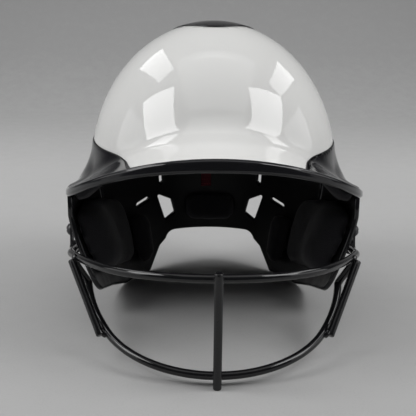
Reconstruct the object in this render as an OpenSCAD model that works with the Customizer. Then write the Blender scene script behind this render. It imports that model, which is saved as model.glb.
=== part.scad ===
// Softball batting helmet with a wire face guard.
// The front of the helmet faces -Y, X = 0 is its middle plane and Z = 0 is the table that it stands on.
// A heading is an angle round the head: 0 is the front, 90 the +X side, 180 the nape.

/* [Dome] */
// Half width of the dome at its widest level
dome_half_w = 97.5; // [88:0.5:104]
// Reach of the dome in front of its middle
dome_front = 114; // [104:1:122]
// Reach of the dome behind its middle
dome_back = 118; // [108:1:128]
// Rise of the dome above its widest level
dome_rise = 113; // [100:0.5:122]
// Height of the dome's widest level above the table
widest_z = 115; // [110:1:122]
// Wall of the shell
shell_wall = 4; // [3.4:0.1:5]
// How far the nape tucks in towards the table
nape_tuck = 20; // [10:1:26]

/* [Ear flaps] */
// How far each flap stands out past the dome's side
flap_bulge = 15; // [10:0.5:18]
// Height where the flap starts to lean in
flap_lean_z = 84; // [76:1:90]
// How far the flap has leaned in by the table
flap_tuck = 31; // [24:1:36]
// Place of the flap's front edge, in front of the dome's middle
flap_front = 48; // [42:1:54]
// Height of the flap's lowest front corner
flap_toe_z = 18; // [12:1:24]
// Radius of that corner
flap_toe_r = 16; // [8:1:20]
// Place where the flap's lower edge runs under the table's level, behind the dome's middle
flap_heel_y = 36; // [30:1:44]
// Diameter of the ear opening
ear_hole_d = 24; // [16:1:30]
// Place of the ear opening behind the dome's middle
ear_hole_y = 27; // [20:1:34]
// Height of the ear opening
ear_hole_z = 62; // [54:1:68]

/* [Brim] */
// How far the brim's widest place lies inside the flaps' outer skin
brim_inset = 0.5; // [0:0.5:5]
// Reach of the brim in front of its widest place
brim_reach = 108; // [98:1:116]
// Place of the brim's widest part, in front of the dome's middle
brim_mid = 46; // [40:1:52]
// Height of the brim's edge at the middle of the front
brim_front_z = 150; // [144:0.5:154]
// Height of the brim's edge at its sides
brim_side_z = 106; // [100:0.5:112]
// Height over which the dome sweeps out to the brim
sweep_h = 30; // [22:1:36]
// Height of the rolled edge at the middle of the front
bead_h = 7.2; // [5:0.2:9]
// Width of the black border between that edge and the white panel
border_w = 3.4; // [2.4:0.2:5]

/* [White panel] */
// Thickness of the panel
panel_t = 1.4; // [1:0.1:1.6]
// How far the panel lies under the shell's surface round it
panel_step = 0.7; // [0.3:0.1:0.9]
// Height of the panel's lower side edge
panel_low_z = 136.5; // [132:0.5:140]
// How far forward of the dome's middle that edge starts to rise
panel_rise_y = 86; // [76:1:94]
// Rise of that edge over its run to the front
panel_rise = 0.03; // [0:0.01:0.08]
// Place of the panel's rear edge at its lower corner, behind the dome's middle
panel_corner_y = 12; // [4:1:20]
// How far the rear edge leans back on its way up
panel_lean = 24; // [10:1:34]
// Radius of the lower rear corner
panel_corner_r = 12; // [6:1:18]
// Length over which the black tongue at the crown narrows by its own half width squared
tongue_sweep = 26; // [22:1:36]
// How far that tongue reaches past the crown, to the front
tongue_over = 24; // [16:1:28]
// Gap between the panel and its recess
panel_gap = 0.3; // [0.2:0.1:0.5]

/* [Vents and ponytail port] */
// Half width of the port at its top
port_top_w = 41.5; // [34:0.5:44]
// Half width of the port at the table
port_low_w = 56; // [50:0.5:60]
// Height of the port
port_h = 31.5; // [24:0.5:34]
// Heading of the rear vent, from the front
rear_vent_heading = 156.5; // [155:0.5:158]
// Height of the middle of the rear vent
rear_vent_z = 51; // [48:1:54]
// Width of the rear vent
rear_vent_w = 17; // [14:1:20]
// Height of the rear vent
rear_vent_h = 25; // [20:1:28]
// Heading of the upper slot
upper_slot_heading = 155; // [150:0.5:158]
// Height of the middle of the upper slot
upper_slot_z = 86.5; // [82:0.5:94]
// Heading of the slanted slot
slant_slot_heading = 142.5; // [140:0.5:144]
// Height of the middle of the slanted slot
slant_slot_z = 62.5; // [58:0.5:66]
// Heading of the side slot
side_slot_heading = 115; // [113:0.5:121]
// Height of the middle of the side slot
side_slot_z = 80; // [75:1:84]
// Length of the upright slots
slot_len = 20; // [14:1:24]
// Length of the slanted slot
slant_slot_len = 16; // [12:1:18]
// Rise of the slanted slot towards the nape, in degrees
slant_slot_rise = 16; // [8:1:30]
// Width of the upper and the slanted slots
slot_w = 3; // [2.4:0.2:4.6]
// Width of the side slot
side_slot_w = 2.2; // [1.8:0.2:4]

/* [Pads] */
// Gap between a pad and what carries it
pad_gap = 0.8; // [0.6:0.05:1]
// Thickness of the pads in the dome
dome_pad_t = 12; // [8:0.5:15]
// Thickness of the jaw pads at the front
jaw_pad_t = 24; // [18:0.5:28]
// Thickness of the jaw pads at the rear
jaw_rear_t = 12; // [8:0.5:16]
// Thickness of the pads beside the port
side_pad_t = 11; // [8:0.5:14]
// Thickness of a pad's border
pad_border_t = 3; // [2:0.5:5]
// Width of the pull tab
tab_w = 9.5; // [7:0.5:14]
// Thickness of the pull tab
tab_t = 1.2; // [0.8:0.1:2]
// Height of the lower end of the pull tab
tab_low_z = 69; // [68:1:74]

/* [Face guard] */
// Diameter of the coated wire
wire_d = 5.8; // [5:0.1:6.6]
// Place of the upper bar in front of the dome's middle
upper_bar_y = 173; // [168:1:180]
// Height of the upper bar at the front
upper_bar_z = 77; // [70:1:84]
// Fall of the upper bar towards the flaps, in degrees
upper_bar_tilt = 9.3; // [8:0.1:11]
// Place of the lower bar in front of the dome's middle
lower_bar_y = 167.2; // [164:0.1:172]
// Height of the lower bar at the front
lower_bar_z = 7; // [6:0.5:10]
// Rise of the lower bar towards the flaps, in degrees
lower_bar_tilt = 15; // [13:0.5:17]
// How far the centre strut passes the upper bar
strut_over = 3; // [1:0.5:6]
// Play between wires that are welded side by side
weld_gap = 0.05; // [0:0.05:0.2]

/* [Guard clips] */
// Width of a clip along the wire
clip_w = 12; // [9:0.5:16]
// Thickness of a clip
clip_t = 1.6; // [1.2:0.1:2]
// Height of the bolt above the wire
bolt_rise = 13.5; // [12:0.5:16]
// Place of the bolt, in front of the dome's middle
bolt_y = 29; // [26:1:32]
// Diameter of the bolt's shank
bolt_d = 5; // [4:0.1:5.5]
// Diameter of the bolt's domed head
bolt_head_d = 10.5; // [9:0.5:13]
// Height of the bolt's domed head
bolt_head_h = 3.6; // [2.5:0.1:5]
// Diameter of the flange of the nut inside the flap
nut_flange_d = 14; // [11:0.5:16]
// Thickness of that flange
nut_flange_t = 1.2; // [0.8:0.1:1.8]
// Diameter of the nut's barrel
nut_barrel_d = 7.6; // [7:0.1:8.4]
// Play of a shank in its hole, across
fit_play = 0.4; // [0.2:0.1:0.8]

/* [Hidden] */
$fn = 48;
cols = 60;
dome_rows = 8;
sweep_rows = 6;
row_crowding = 1.6;
skirt_rows = 8;
wire_sides = 10;
flap_half_w = dome_half_w + flap_bulge;
brim_half_w = flap_half_w - brim_inset;
brim_end = atan2(brim_half_w, brim_mid);
wire_r = wire_d / 2;
wire_ease = wire_r * 0.35;
tab_x = -3.5;
vent_corner_r = 1.2;
nut_clear = 0.7;
end_past_clip = 3;
strut_past = 1.5;
strut_short = 1;
nut_pocket_h = 12;
wire_inset = 4.5;
bow_step = 5.6;
tab_top_z = 92;
flare_power = 5.5;
brim_power = 1.56;
bead_side = 0.63;
bead_fade_angle = 36;
lean_power = 1.3;
rear_lean = 0.7;
flap_side_h = 12;
flap_side_angle = 10;
shoulder_drop = 18;
shoulder_angle = 35;
shoulder_blend_angle = 30;
skirt_blend_angle = 10;
flap_top_drop = 14;
panel_turn_drop = 14;
flap_fade_heading = 152;
flap_fade_angle = 60;
corner_draw = 0.16;
jaw_pad_heading = 97.5;
jaw_half_angle = 29.5;
jaw_pad_z = 49;
jaw_half_z = 30;
jaw_pad_fall = 7;
jaw_corner_draw = 0.09;
rear_pad_heading = 136;
rear_half_angle = 7;
rear_pad_z = 31;
rear_half_z = 22;
brow_half_angle = 46;
brow_pad_rise = 22;
brow_half_z = 15;
crown_pad_angle = 34;
back_half_angle = 34;
back_pad_z = widest_z + 9;
back_half_z = 24;
nape_half_angle = 13.5;
nape_pad_rise = 19;
nape_half_z = 13.5;
nape_pad_t = dome_pad_t * 0.8;
temple_pad_heading = 88;
temple_half_angle = 22;
temple_pad_z = widest_z - 3;
temple_half_z = 21;
guard_front = upper_bar_y + wire_d + weld_gap + wire_r;
mid_y = (dome_back - guard_front) / 2;
dome_top = widest_z + dome_rise;
recess_d = panel_step + panel_t + panel_gap;
inner_skin = shell_wall + pad_gap;
rim_clear = 0.02;
far = 400;

function ease(t) = let (u = min(max(t, 0), 1)) u * u * (3 - 2 * u);
function mix(a, b, t) = a + (b - a) * t;
function fold(h) = abs(h > 180 ? h - 360 : h);

// The dome: an egg in plan, a half ellipse upright, and straight under its widest level.
function dome_r(h, z) =
    let (reach = cos(h) > 0 ? dome_front : dome_back, rise = max(z - widest_z, 0) / dome_rise)
    sqrt(max(1 - rise * rise, 0)) / norm([sin(h) / dome_half_w, cos(h) / reach]);

// How far a flap has leaned in at a height.
function lean(z) = flap_tuck * pow(max(flap_lean_z - z, 0) / flap_lean_z, lean_power);

// The flaps, the sides and the nape under the shoulder.
function skirt_r(h, z) =
    let (w = ease((flap_fade_heading - fold(h)) / flap_fade_angle),
         half_w = dome_half_w + flap_bulge * w - lean(z) * mix(rear_lean, 1, w),
         back = dome_back - nape_tuck * pow(max(widest_z - z, 0) / widest_z, 1.5),
         s = abs(sin(h)), c = abs(cos(h)))
    cos(h) > 0 ? pow(pow(s / half_w, 4) + pow(c / dome_front, 4), -0.25) : 1 / norm([s / half_w, c / back]);

// The brim's outline in plan: an ellipse about a place in front of the dome's middle.
function brim_r(h) =
    let (a = pow(sin(h) / brim_half_w, 2) + pow(cos(h) / brim_reach, 2),
         b = -2 * brim_mid * cos(h) / pow(brim_reach, 2),
         c = pow(brim_mid / brim_reach, 2) - 1)
    (sqrt(b * b - 4 * a * c) - b) / (2 * a);

// Height of the rolled edge, which narrows towards the brim's sides.
function bead_tall(h) = bead_h * mix(1, bead_side, ease(fold(h) / bead_fade_angle));

// Height of the brim's edge, carried back along the shoulder of the flap.
function edge_z(h) =
    let (f = fold(h), forward = (brim_r(f) * cos(f) - brim_mid) / brim_reach)
    f <= brim_end ? mix(brim_side_z, brim_front_z, pow(max(forward, 0), brim_power))
                  : brim_side_z - shoulder_drop * ease((f - brim_end) / shoulder_angle);

// Share of the way from the brim, 0, to the flap's shoulder, 1.
function shoulder(h) = ease((fold(h) - brim_end) / shoulder_blend_angle);
function sweep(h) = sweep_h * mix(1, 1.1, shoulder(h));

// Share of the way from the brim's outline, 0, to the flap's: behind the brim's end, and under its edge.
function on_flap(f, z) =
    let (behind = ease((f - brim_end) / skirt_blend_angle),
         under = ease((edge_z(f) - bead_tall(f) - z) / flap_side_h)
             * ease((f - brim_end) / flap_side_angle + 2))
    1 - (1 - behind) * (1 - under);

// Radius of the helmet's outer skin at a heading and a height.
function skin_r(h, z) =
    let (f = fold(h),
         low = mix(brim_r(f), skirt_r(f, z), on_flap(f, z)),
         t = min(max((z - edge_z(f)) / sweep(f), 0), 1),
         k = mix(pow(1 - t, flare_power), ease(1 - t), shoulder(f)))
    mix(dome_r(f, z), low, k);

// A point of the skin, moved inwards by a depth square to the meridian.
function skin(h, z, depth) =
    let (slope = (skin_r(h, z + 0.2) - skin_r(h, z - 0.2)) / 0.4, n = depth / norm([1, slope]),
         r = skin_r(h, z) - n)
    [r * sin(h), -r * cos(h), z + slope * n];

// Heights of the rows of points down one meridian: dome, sweep and skirt.
function row_z(h, k, low) =
    let (last = acos((edge_z(h) + sweep(h) - widest_z) / dome_rise))
    k < dome_rows ? widest_z + dome_rise * cos(last * (k + 1) / dome_rows)
    : k < dome_rows + sweep_rows
        ? edge_z(h) + sweep(h) * pow((dome_rows + sweep_rows - 1 - k) / sweep_rows, row_crowding)
    : let (rim = edge_z(h) - bead_tall(h), deep = k - dome_rows - sweep_rows)
        deep == 0 ? rim : mix(rim, low, deep / (skirt_rows - 1));

// Faces of a closed form of rings, from a top point to a bottom point.
function ring_faces(rings, n) = concat(
    [for (i = [0:n - 1]) [0, 1 + (i + 1) % n, 1 + i]],
    [for (k = [0:rings - 2], i = [0:n - 1])
        let (a = 1 + k * n + i, b = 1 + k * n + (i + 1) % n) each [[a, b, b + n], [a, b + n, a + n]]],
    [for (i = [0:n - 1]) let (a = 1 + (rings - 1) * n) [1 + rings * n, a + i, a + (i + 1) % n]]);

// The helmet's whole form at a depth under its skin, closed off at a low level.
module form(depth, low) {
    rows = dome_rows + sweep_rows + skirt_rows;
    points = concat([[0, 0, dome_top - depth]],
        [for (k = [0:rows - 1], i = [0:cols - 1]) let (h = 360 * i / cols) skin(h, row_z(h, k, low), depth)],
        [[0, 0, low]]);
    polyhedron(points, ring_faces(rows, cols), convexity = 8);
}

// Cuts and skins of one solid, joined as one mesh at their own size.
module as_mesh() { resize([0, 0, 0]) children(); }

// Shapes drawn in side view, with y and z as drawn, carried across the whole width.
module across() { rotate([90, 0, 90]) linear_extrude(far, center = true) children(); }

// Shapes drawn as seen from outside at a heading, carried through the wall there.
module through_wall(h, z) {
    rotate([0, 0, h - 90]) translate([60, 0, z]) rotate([90, 0, 90]) linear_extrude(90) children();
}

// Outline of the open front in side view, from the brim down past the flap's toe.
module face_opening() {
    brim = [for (i = [0:14]) let (h = brim_end * i / 14)
        [-brim_r(h) * cos(h), edge_z(h) - bead_tall(h) + rim_clear]];
    toe = [-flap_front + flap_toe_r, flap_toe_z + flap_toe_r];
    corner = [for (a = [180:15:255]) toe + flap_toe_r * [cos(a), sin(a)]];
    polygon(concat([[-far, -1], [-far, brim_front_z - bead_h + rim_clear]], brim,
        [[-flap_front, brim_side_z - flap_top_drop]], corner, [[flap_heel_y, -1]]));
}

// The ponytail port, seen from behind, with rounded upper corners.
module port_outline() {
    r = 8;
    polygon(concat([[-port_low_w, -1], [-mix(port_low_w, port_top_w, 0.62), port_h * 0.62]],
        [for (a = [170:-20:90]) [r - port_top_w, port_h - r] + r * [cos(a), sin(a)]],
        [for (a = [90:-20:10]) [port_top_w - r, port_h - r] + r * [cos(a), sin(a)]],
        [[mix(port_low_w, port_top_w, 0.62), port_h * 0.62], [port_low_w, -1]]));
}

// A slot with round ends, upright unless turned.
module slot_outline(length, w, turn = 0) {
    rotate(turn) hull() for (s = [-1, 1])
        translate([0, s * (length - w) / 2]) circle(d = w, $fn = 20);
}

// The rear vent: a leaning four-sided hole with rounded corners, mirrored on the other side.
module rear_vent_outline(s) {
    corners = [[-0.47, 0.64], [-0.05, -0.36], [0.53, -0.14], [0.37, 0.38]];
    offset(r = vent_corner_r, $fn = 16) offset(delta = -vent_corner_r)
        polygon([for (c = corners) [s * c[0] * rear_vent_w, c[1] * rear_vent_h]]);
}

module vents() {
    for (s = [-1, 1]) {
        through_wall(s * rear_vent_heading, rear_vent_z) rear_vent_outline(s);
        through_wall(s * upper_slot_heading, upper_slot_z) slot_outline(slot_len, slot_w);
        through_wall(s * slant_slot_heading, slant_slot_z)
            slot_outline(slant_slot_len, slot_w, s * (slant_slot_rise - 90));
        through_wall(s * side_slot_heading, side_slot_z) slot_outline(slot_len, side_slot_w);
    }
}

// The part of the skin that the white panel covers: above a level, in front of a leaning rear edge,
// inside the rolled edge, and short of the black tongue at the crown.
module panel_region(gap) {
    low = panel_low_z + gap;
    corner = [panel_corner_y - gap - panel_corner_r, low + panel_corner_r];
    difference() {
        intersection() {
            across() polygon(concat([[-far, low + panel_rise * (far - panel_rise_y)], [-panel_rise_y, low]],
                [for (a = [270:15:360]) corner + panel_corner_r * [cos(a), sin(a)]],
                [[panel_corner_y + panel_lean - gap, dome_top - panel_turn_drop],
                 [panel_corner_y + panel_lean - gap, far],
                 [-far, far]]));
            linear_extrude(far) polygon([for (i = [0:cols - 1]) let (h = 360 * (i + 0.5) / cols)
                (brim_r(h) - border_w - gap) * [sin(h), -cos(h)]]);
        }
        translate([0, 0, dome_top - 40]) linear_extrude(far) polygon([for (x = [-47:2:47])
            [x, x * x / tongue_sweep - tongue_over - gap]]);
    }
}

module main_shell() {
    color([0.03, 0.03, 0.035]) as_mesh() difference() {
        form(0, 0);
        intersection() {
            difference() { form(-2, -2); form(recess_d, -4); }
            panel_region(0);
        }
        form(shell_wall, -3);
        across() face_opening();
        translate([0, 60, 0]) rotate([90, 0, 180]) linear_extrude(far) port_outline();
        vents();
        for (s = [-1, 1]) {
            translate([s * dome_half_w, ear_hole_y, ear_hole_z]) rotate([0, s * 90, 0])
                cylinder(d = ear_hole_d, h = 80, center = true, $fn = 32);
            bolt_place(s) cylinder(d = nut_barrel_d + fit_play, h = 40, center = true, $fn = 24);
        }
    }
}

module front_panel() {
    color([0.9, 0.9, 0.88]) as_mesh() intersection() {
        difference() { form(panel_step, -2); form(panel_step + panel_t, -4); }
        panel_region(panel_gap);
    }
}

// A pad: a crowned cushion on the shell's inner skin, as wide as two headings and as tall as two levels.
// Its corners draw in, it may follow the brim's edge, and it may fall and thin out towards the nape.
module pad(at, half_at, z, half_z, thick, follow = false, rear_t = 0, fall = 0, draw = corner_draw) {
    n = 9;
    function shape(u, v) = let (h = at + half_at * u * (1 - draw * v * v),
        lift = follow ? edge_z(h) - edge_z(at) : -fall * u)
        [h, z + lift + half_z * v * (1 - draw * u * u)];
    function crown(u, v) = pow((1 - pow(u, 4)) * (1 - pow(v, 4)), 0.45);
    function spot(i, j, d) = let (u = 2 * i / n - 1, v = 2 * j / n - 1, p = shape(u, v),
        full = rear_t > 0 ? mix(thick, rear_t, (u + 1) / 2) : thick)
        skin(p[0] < 0 ? p[0] + 360 : p[0], p[1], inner_skin + d * mix(pad_border_t, full, crown(u, v)));
    m = n + 1;
    back = m * m;
    edge = concat([for (i = [0:n - 1]) i], [for (j = [0:n - 1]) n + j * m], [for (i = [n:-1:1]) n * m + i],
        [for (j = [n:-1:1]) j * m]);
    points = concat([for (j = [0:n], i = [0:n]) spot(i, j, 0)], [for (j = [0:n], i = [0:n]) spot(i, j, 1)]);
    cells = [for (j = [0:n - 1], i = [0:n - 1]) let (a = j * m + i) [a, a + 1, a + m + 1, a + m]];
    polyhedron(points, concat(
        [for (c = cells) each [[c[2], c[1], c[0]], [c[3], c[2], c[0]]]],
        [for (c = cells) each [[c[0], c[1], c[2]] + back * [1, 1, 1], [c[0], c[2], c[3]] + back * [1, 1, 1]]],
        [for (k = [0:len(edge) - 1]) let (a = edge[k], b = edge[(k + 1) % len(edge)])
            each [[a, b, b + back], [a, b + back, a + back]]]), convexity = 4);
}

// The pad at the crown: a round crowned cushion about the top of the dome.
module crown_cushion(reach, thick) {
    rings = 6;
    n = 32;
    function level(k) = widest_z + dome_rise * cos(reach * k / rings);
    function swell(k) = mix(pad_border_t, thick, pow(1 - pow(k / rings, 4), 0.45));
    function spot(k, i, d) = skin(360 * i / n, level(k), inner_skin + d * swell(k));
    points = concat([[0, 0, dome_top - inner_skin]],
        [for (k = [1:rings], i = [0:n - 1]) spot(k, i, 0)],
        [for (k = [rings:-1:1], i = [0:n - 1]) spot(k, i, 1)],
        [[0, 0, dome_top - inner_skin - thick]]);
    polyhedron(points, ring_faces(2 * rings, n), convexity = 4);
}

module fabric() { color([0.12, 0.12, 0.13]) children(); }
module brow_pad() {
    fabric() pad(0, brow_half_angle, edge_z(0) + brow_pad_rise, brow_half_z, dome_pad_t, true);
}
module crown_pad() { fabric() crown_cushion(crown_pad_angle, dome_pad_t); }
module back_pad() { fabric() pad(180, back_half_angle, back_pad_z, back_half_z, dome_pad_t); }
module nape_pad() { fabric() pad(180, nape_half_angle, port_h + nape_pad_rise, nape_half_z, nape_pad_t); }
module temple_pad(s) {
    fabric() pad(s * temple_pad_heading, temple_half_angle, temple_pad_z, temple_half_z, dome_pad_t);
}
module rear_pad(s) {
    fabric() pad(s * rear_pad_heading, rear_half_angle, rear_pad_z, rear_half_z, side_pad_t);
}
module jaw_pad() {
    fabric() as_mesh() difference() {
        pad(jaw_pad_heading, jaw_half_angle, jaw_pad_z, jaw_half_z, jaw_pad_t,
            rear_t = jaw_rear_t, fall = jaw_pad_fall, draw = jaw_corner_draw);
        bolt_place(1) translate([0, 0, -nut_depth() - nut_flange_t - 1])
            cylinder(d = nut_flange_d + 3, h = nut_pocket_h, $fn = 24);
    }
}
module left_temple_pad() temple_pad(-1);
module right_temple_pad() temple_pad(1);
module left_rear_pad() rear_pad(-1);
module right_rear_pad() rear_pad(1);
module left_jaw_pad() mirror([1, 0, 0]) jaw_pad();
module right_jaw_pad() jaw_pad();

module pull_tab() {
    z_step = (tab_top_z - tab_low_z) / 6;
    function spot(i, x, d) = let (z = tab_low_z + z_step * i)
        skin(180 - asin((tab_x + x) / (skin_r(180, z) - inner_skin)), z, inner_skin + d);
    points = [for (i = [0:6]) each [spot(i, -tab_w / 2, 0), spot(i, tab_w / 2, 0),
        spot(i, tab_w / 2, tab_t), spot(i, -tab_w / 2, tab_t)]];
    color([0.35, 0.05, 0.06]) polyhedron(points, concat([[0, 1, 2, 3]],
        [for (i = [0:5], a = [0:3]) let (p = 4 * i + a, q = 4 * i + (a + 1) % 4) [p, p + 4, q + 4, q]],
        [[27, 26, 25, 24]]));
}

// A wire bent along a path: rings square to it, and rounded ends.
module wire_path(path) {
    last = len(path) - 1;
    function heading(i) = let (d = path[min(i + 1, last)] - path[max(i - 1, 0)]) d / norm(d);
    cap = [[0.5, 0.87], [0.87, 0.5]];
    rings = concat(
        [for (c = [cap[1], cap[0]]) [path[0] - c[0] * wire_r * heading(0), heading(0), c[1]]],
        [for (i = [0:last]) [path[i], heading(i), 1]],
        [for (c = cap) [path[last] + c[0] * wire_r * heading(last), heading(last), c[1]]]);
    function ring(q) = let (a = cross(q[1], [0, 0, 1]), u = a / norm(a), v = cross(u, q[1]))
        [for (k = [0:wire_sides - 1]) let (w = 360 * k / wire_sides)
            q[0] + wire_r * q[2] * (u * cos(w) + v * sin(w))];
    points = concat([path[0] - wire_r * heading(0)], [for (q = rings) each ring(q)],
        [path[last] + wire_r * heading(last)]);
    polyhedron(points, ring_faces(len(rings), wire_sides), convexity = 6);
}
// A path and its mirror image on the other side, from one end to the other.
function both_sides(half) =
    concat([for (i = [len(half) - 1:-1:1]) [-half[i][0], half[i][1], half[i][2]]], half);
// Points of an arc in a plane that starts at a heading, in equal steps, without its first point.
function arc(p, a, r, turn, steps) = [for (i = [1:steps]) arc_end(p, a, r, turn * i / steps)];
// A straight strut between two places, with eased ends.
module strut(a, b) {
    d = b - a;
    l = norm(d);
    flat_r = wire_r - wire_ease;
    translate(a) rotate([0, acos(d[2] / l), atan2(d[1], d[0])]) rotate_extrude() polygon([[0, 0],
        [flat_r, 0], [wire_r, wire_ease], [wire_r, l - wire_ease], [flat_r, l], [0, l]]);
}

// Upper bar: a front bow, a flatter side bow, a short straight, a bend along the flap and a straight end.
upper_angle = 59;
upper_side = 319;
upper_side_angle = 11.5;
upper_run = 3;
upper_bend = 29;
upper_end_angle = upper_angle + upper_side_angle;
// The bow is as wide as brings the bar's straight end beside the flap.
upper_bow = (flap_half_w - wire_inset - upper_side * (sin(upper_end_angle) - sin(upper_angle))
    - upper_run * cos(upper_end_angle) - upper_bend * (1 - sin(upper_end_angle))) / sin(upper_angle);
// Where an arc ends, from its start, for a heading in the plane.
function arc_end(p, a, r, turn) = p + r * [sin(a + turn) - sin(a), cos(a) - cos(a + turn)];
upper_p1 = arc_end([0, 0], 0, upper_bow, upper_angle);
upper_p2 = arc_end(upper_p1, upper_angle, upper_side, upper_side_angle);
upper_p3 = upper_p2 + upper_run * [cos(upper_end_angle), sin(upper_end_angle)];
upper_p4 = arc_end(upper_p3, upper_end_angle, upper_bend, 90 - upper_end_angle);
// The straight end passes the clip by a little.
upper_end = bolt_y_in_plane() + clip_w / 2 + end_past_clip - upper_p4[1];

// The plane of the upper bar, and of the clips that hold its ends.
module upper_plane() {
    translate([0, -upper_bar_y, upper_bar_z]) rotate([-upper_bar_tilt, 0, 0]) children();
}
function upper_point(p) =
    [p[0], p[1] * cos(upper_bar_tilt) - upper_bar_y, upper_bar_z - p[1] * sin(upper_bar_tilt)];

upper_half = concat([[0, 0]], arc([0, 0], 0, upper_bow, upper_angle, 9),
    arc(upper_p1, upper_angle, upper_side, upper_side_angle, 5), [upper_p3],
    arc(upper_p3, upper_end_angle, upper_bend, 90 - upper_end_angle, 3),
    [upper_p4 + [0, upper_end / 2], upper_p4 + [0, upper_end]]);
module guard_upper_bar() {
    color([0.02, 0.02, 0.02]) wire_path(both_sides([for (p = upper_half) upper_point(p)]));
}

// Lower bar: a front bow, a flatter side bow, and legs that rise to the underside of the upper bar.
lower_bow = upper_bow - bow_step;
lower_angle = 63;
lower_side = 191;
lower_side_angle = 19;
lower_p1 = arc_end([0, 0], 0, lower_bow, lower_angle);
lower_p2 = arc_end(lower_p1, lower_angle, lower_side, lower_side_angle);
function lower_point(p) =
    [p[0], p[1] * cos(lower_bar_tilt) - lower_bar_y, lower_bar_z + p[1] * sin(lower_bar_tilt)];
// A place on the upper bar's side bow, as a share of the bow; a leg and a strut meet it there.
leg_share = 0.96;
strut_share = 0.72;
function side_spot(t) = upper_point(arc_end(upper_p1, upper_angle, upper_side, upper_side_angle * t));
leg_top = side_spot(leg_share) - [0.6, 0, (wire_d + weld_gap) * 1.02];
leg_low = lower_point(lower_p2);
lower_end_angle = lower_angle + lower_side_angle;
knee_run = 2;
leg_knee = lower_point(lower_p2 + knee_run * [cos(lower_end_angle), sin(lower_end_angle)]);
leg_out = mix(leg_knee, leg_top, 0.25);
lower_half = concat([for (p = concat([[0, 0]], arc([0, 0], 0, lower_bow, lower_angle, 9),
    arc(lower_p1, lower_angle, lower_side, lower_side_angle, 4))) lower_point(p)],
    [for (t = [0.25:0.25:1]) mix(mix(leg_low, leg_knee, t), mix(leg_knee, leg_out, t), t)],
    [mix(leg_out, leg_top, 0.5), leg_top]);
module guard_lower_bar() {
    color([0.02, 0.02, 0.02]) wire_path(both_sides(lower_half));
}

// Struts lie against the front of both bars, with flat ends.
strut_off = wire_d + weld_gap;
// The centre strut's foot is the front rest: its lowest point is on the table.
centre_high = upper_bar_z + wire_r + strut_over;
centre_lean = atan2(upper_bar_y - lower_bar_y, centre_high);
module guard_centre_strut() {
    color([0.02, 0.02, 0.02]) strut([0, -lower_bar_y - strut_off, (wire_r - wire_ease) * sin(centre_lean)],
        [0, -upper_bar_y - strut_off, centre_high]);
}
// A side strut's ends, set out from the bars square to both. It starts where the lower bar's side bow starts.
function set_out(angle) = strut_off * [sin(angle), -cos(angle), 0];
strut_high = side_spot(strut_share) + set_out(upper_angle + upper_side_angle * strut_share);
strut_foot = lower_point(lower_p1) + set_out(lower_angle);
module side_strut() {
    d = (strut_high - strut_foot) / norm(strut_high - strut_foot);
    color([0.02, 0.02, 0.02]) strut(strut_foot - strut_past * d, strut_high - strut_short * d);
}
module guard_left_strut() mirror([1, 0, 0]) side_strut();
module guard_right_strut() side_strut();

// The bolt's axis: square to the flap, above the straight end of the upper bar.
function bolt_y_in_plane() = (upper_bar_y - bolt_y) / cos(upper_bar_tilt);
function bolt_point() = upper_point([upper_p4[0], bolt_y_in_plane()])
    + bolt_rise * [0, sin(upper_bar_tilt), cos(upper_bar_tilt)];
function flap_x() = skirt_r(90, bolt_point()[2]);
// Slope of the flap's side at the bolt, and how deep under the skin the nut's flange lies to clear it.
function flap_slope() = lean_power * lean(bolt_point()[2]) / max(flap_lean_z - bolt_point()[2], 1);
function nut_depth() =
    shell_wall + lean(bolt_point()[2] - nut_flange_d / 2) - lean(bolt_point()[2]) + nut_clear;
module bolt_place(s) {
    p = bolt_point();
    translate([s * flap_x(), p[1], p[2]]) rotate([0, s * 90, 0]) children();
}

// A clip: a plate under the bolt and a hook round the outer half of the wire. Where the plate lies
// outside the wire's middle it runs down beside the wire, and otherwise a ledge joins it to the hook.
plate_over = bolt_head_d * 0.58;
plate_x = fit_play + plate_over * flap_slope();
module guard_clip(s) {
    hook_in = wire_r + fit_play / 2;
    hook_out = hook_in + clip_t;
    x0 = flap_x() + plate_x;
    p = upper_p4[0];
    low = x0 > p ? 0 : hook_in;
    color([0.05, 0.05, 0.05]) scale([s, 1, 1]) difference() {
        upper_plane() translate([0, bolt_y_in_plane() + clip_w / 2, 0]) rotate([90, 0, 0])
            linear_extrude(clip_w) {
            translate([x0, hook_in]) square([max(p - x0, 0) + 0.2, clip_t]);
            difference() {
                union() {
                    translate([x0, low]) square([clip_t, bolt_rise - low + plate_over]);
                    difference() {
                        translate([p, 0]) circle(r = hook_out);
                        polygon([[p, 0], [p - 30, -30], [p - 30, 30], [p, 30]]);
                    }
                }
                translate([p, 0]) circle(r = hook_in);
            }
        }
        bolt_place(1) cylinder(d = bolt_d + fit_play, h = 40, center = true);
    }
}
module left_guard_clip() guard_clip(-1);
module right_guard_clip() guard_clip(1);

module clip_bolts() {
    dome_radius = (pow(bolt_head_d / 2, 2) + pow(bolt_head_h, 2)) / (2 * bolt_head_h);
    under = plate_x + clip_t + 0.05;
    color([0.1, 0.1, 0.1]) for (s = [-1, 1]) bolt_place(s) {
        translate([0, 0, under]) intersection() {
            translate([0, 0, bolt_head_h - dome_radius]) sphere(r = dome_radius);
            cylinder(d = bolt_head_d, h = bolt_head_h);
        }
        translate([0, 0, -nut_depth() - nut_flange_t])
            cylinder(d = bolt_d, h = nut_depth() + nut_flange_t + under + 0.5);
    }
}

module clip_nuts() {
    color([0.6, 0.6, 0.62]) for (s = [-1, 1]) bolt_place(s) difference() {
        union() {
            translate([0, 0, -nut_depth() - nut_flange_t]) cylinder(d = nut_flange_d, h = nut_flange_t);
            translate([0, 0, -nut_depth() - 0.1]) cylinder(d = nut_barrel_d, h = nut_depth() - 0.5);
        }
        cylinder(d = bolt_d + fit_play / 2, h = 40, center = true);
    }
}

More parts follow.
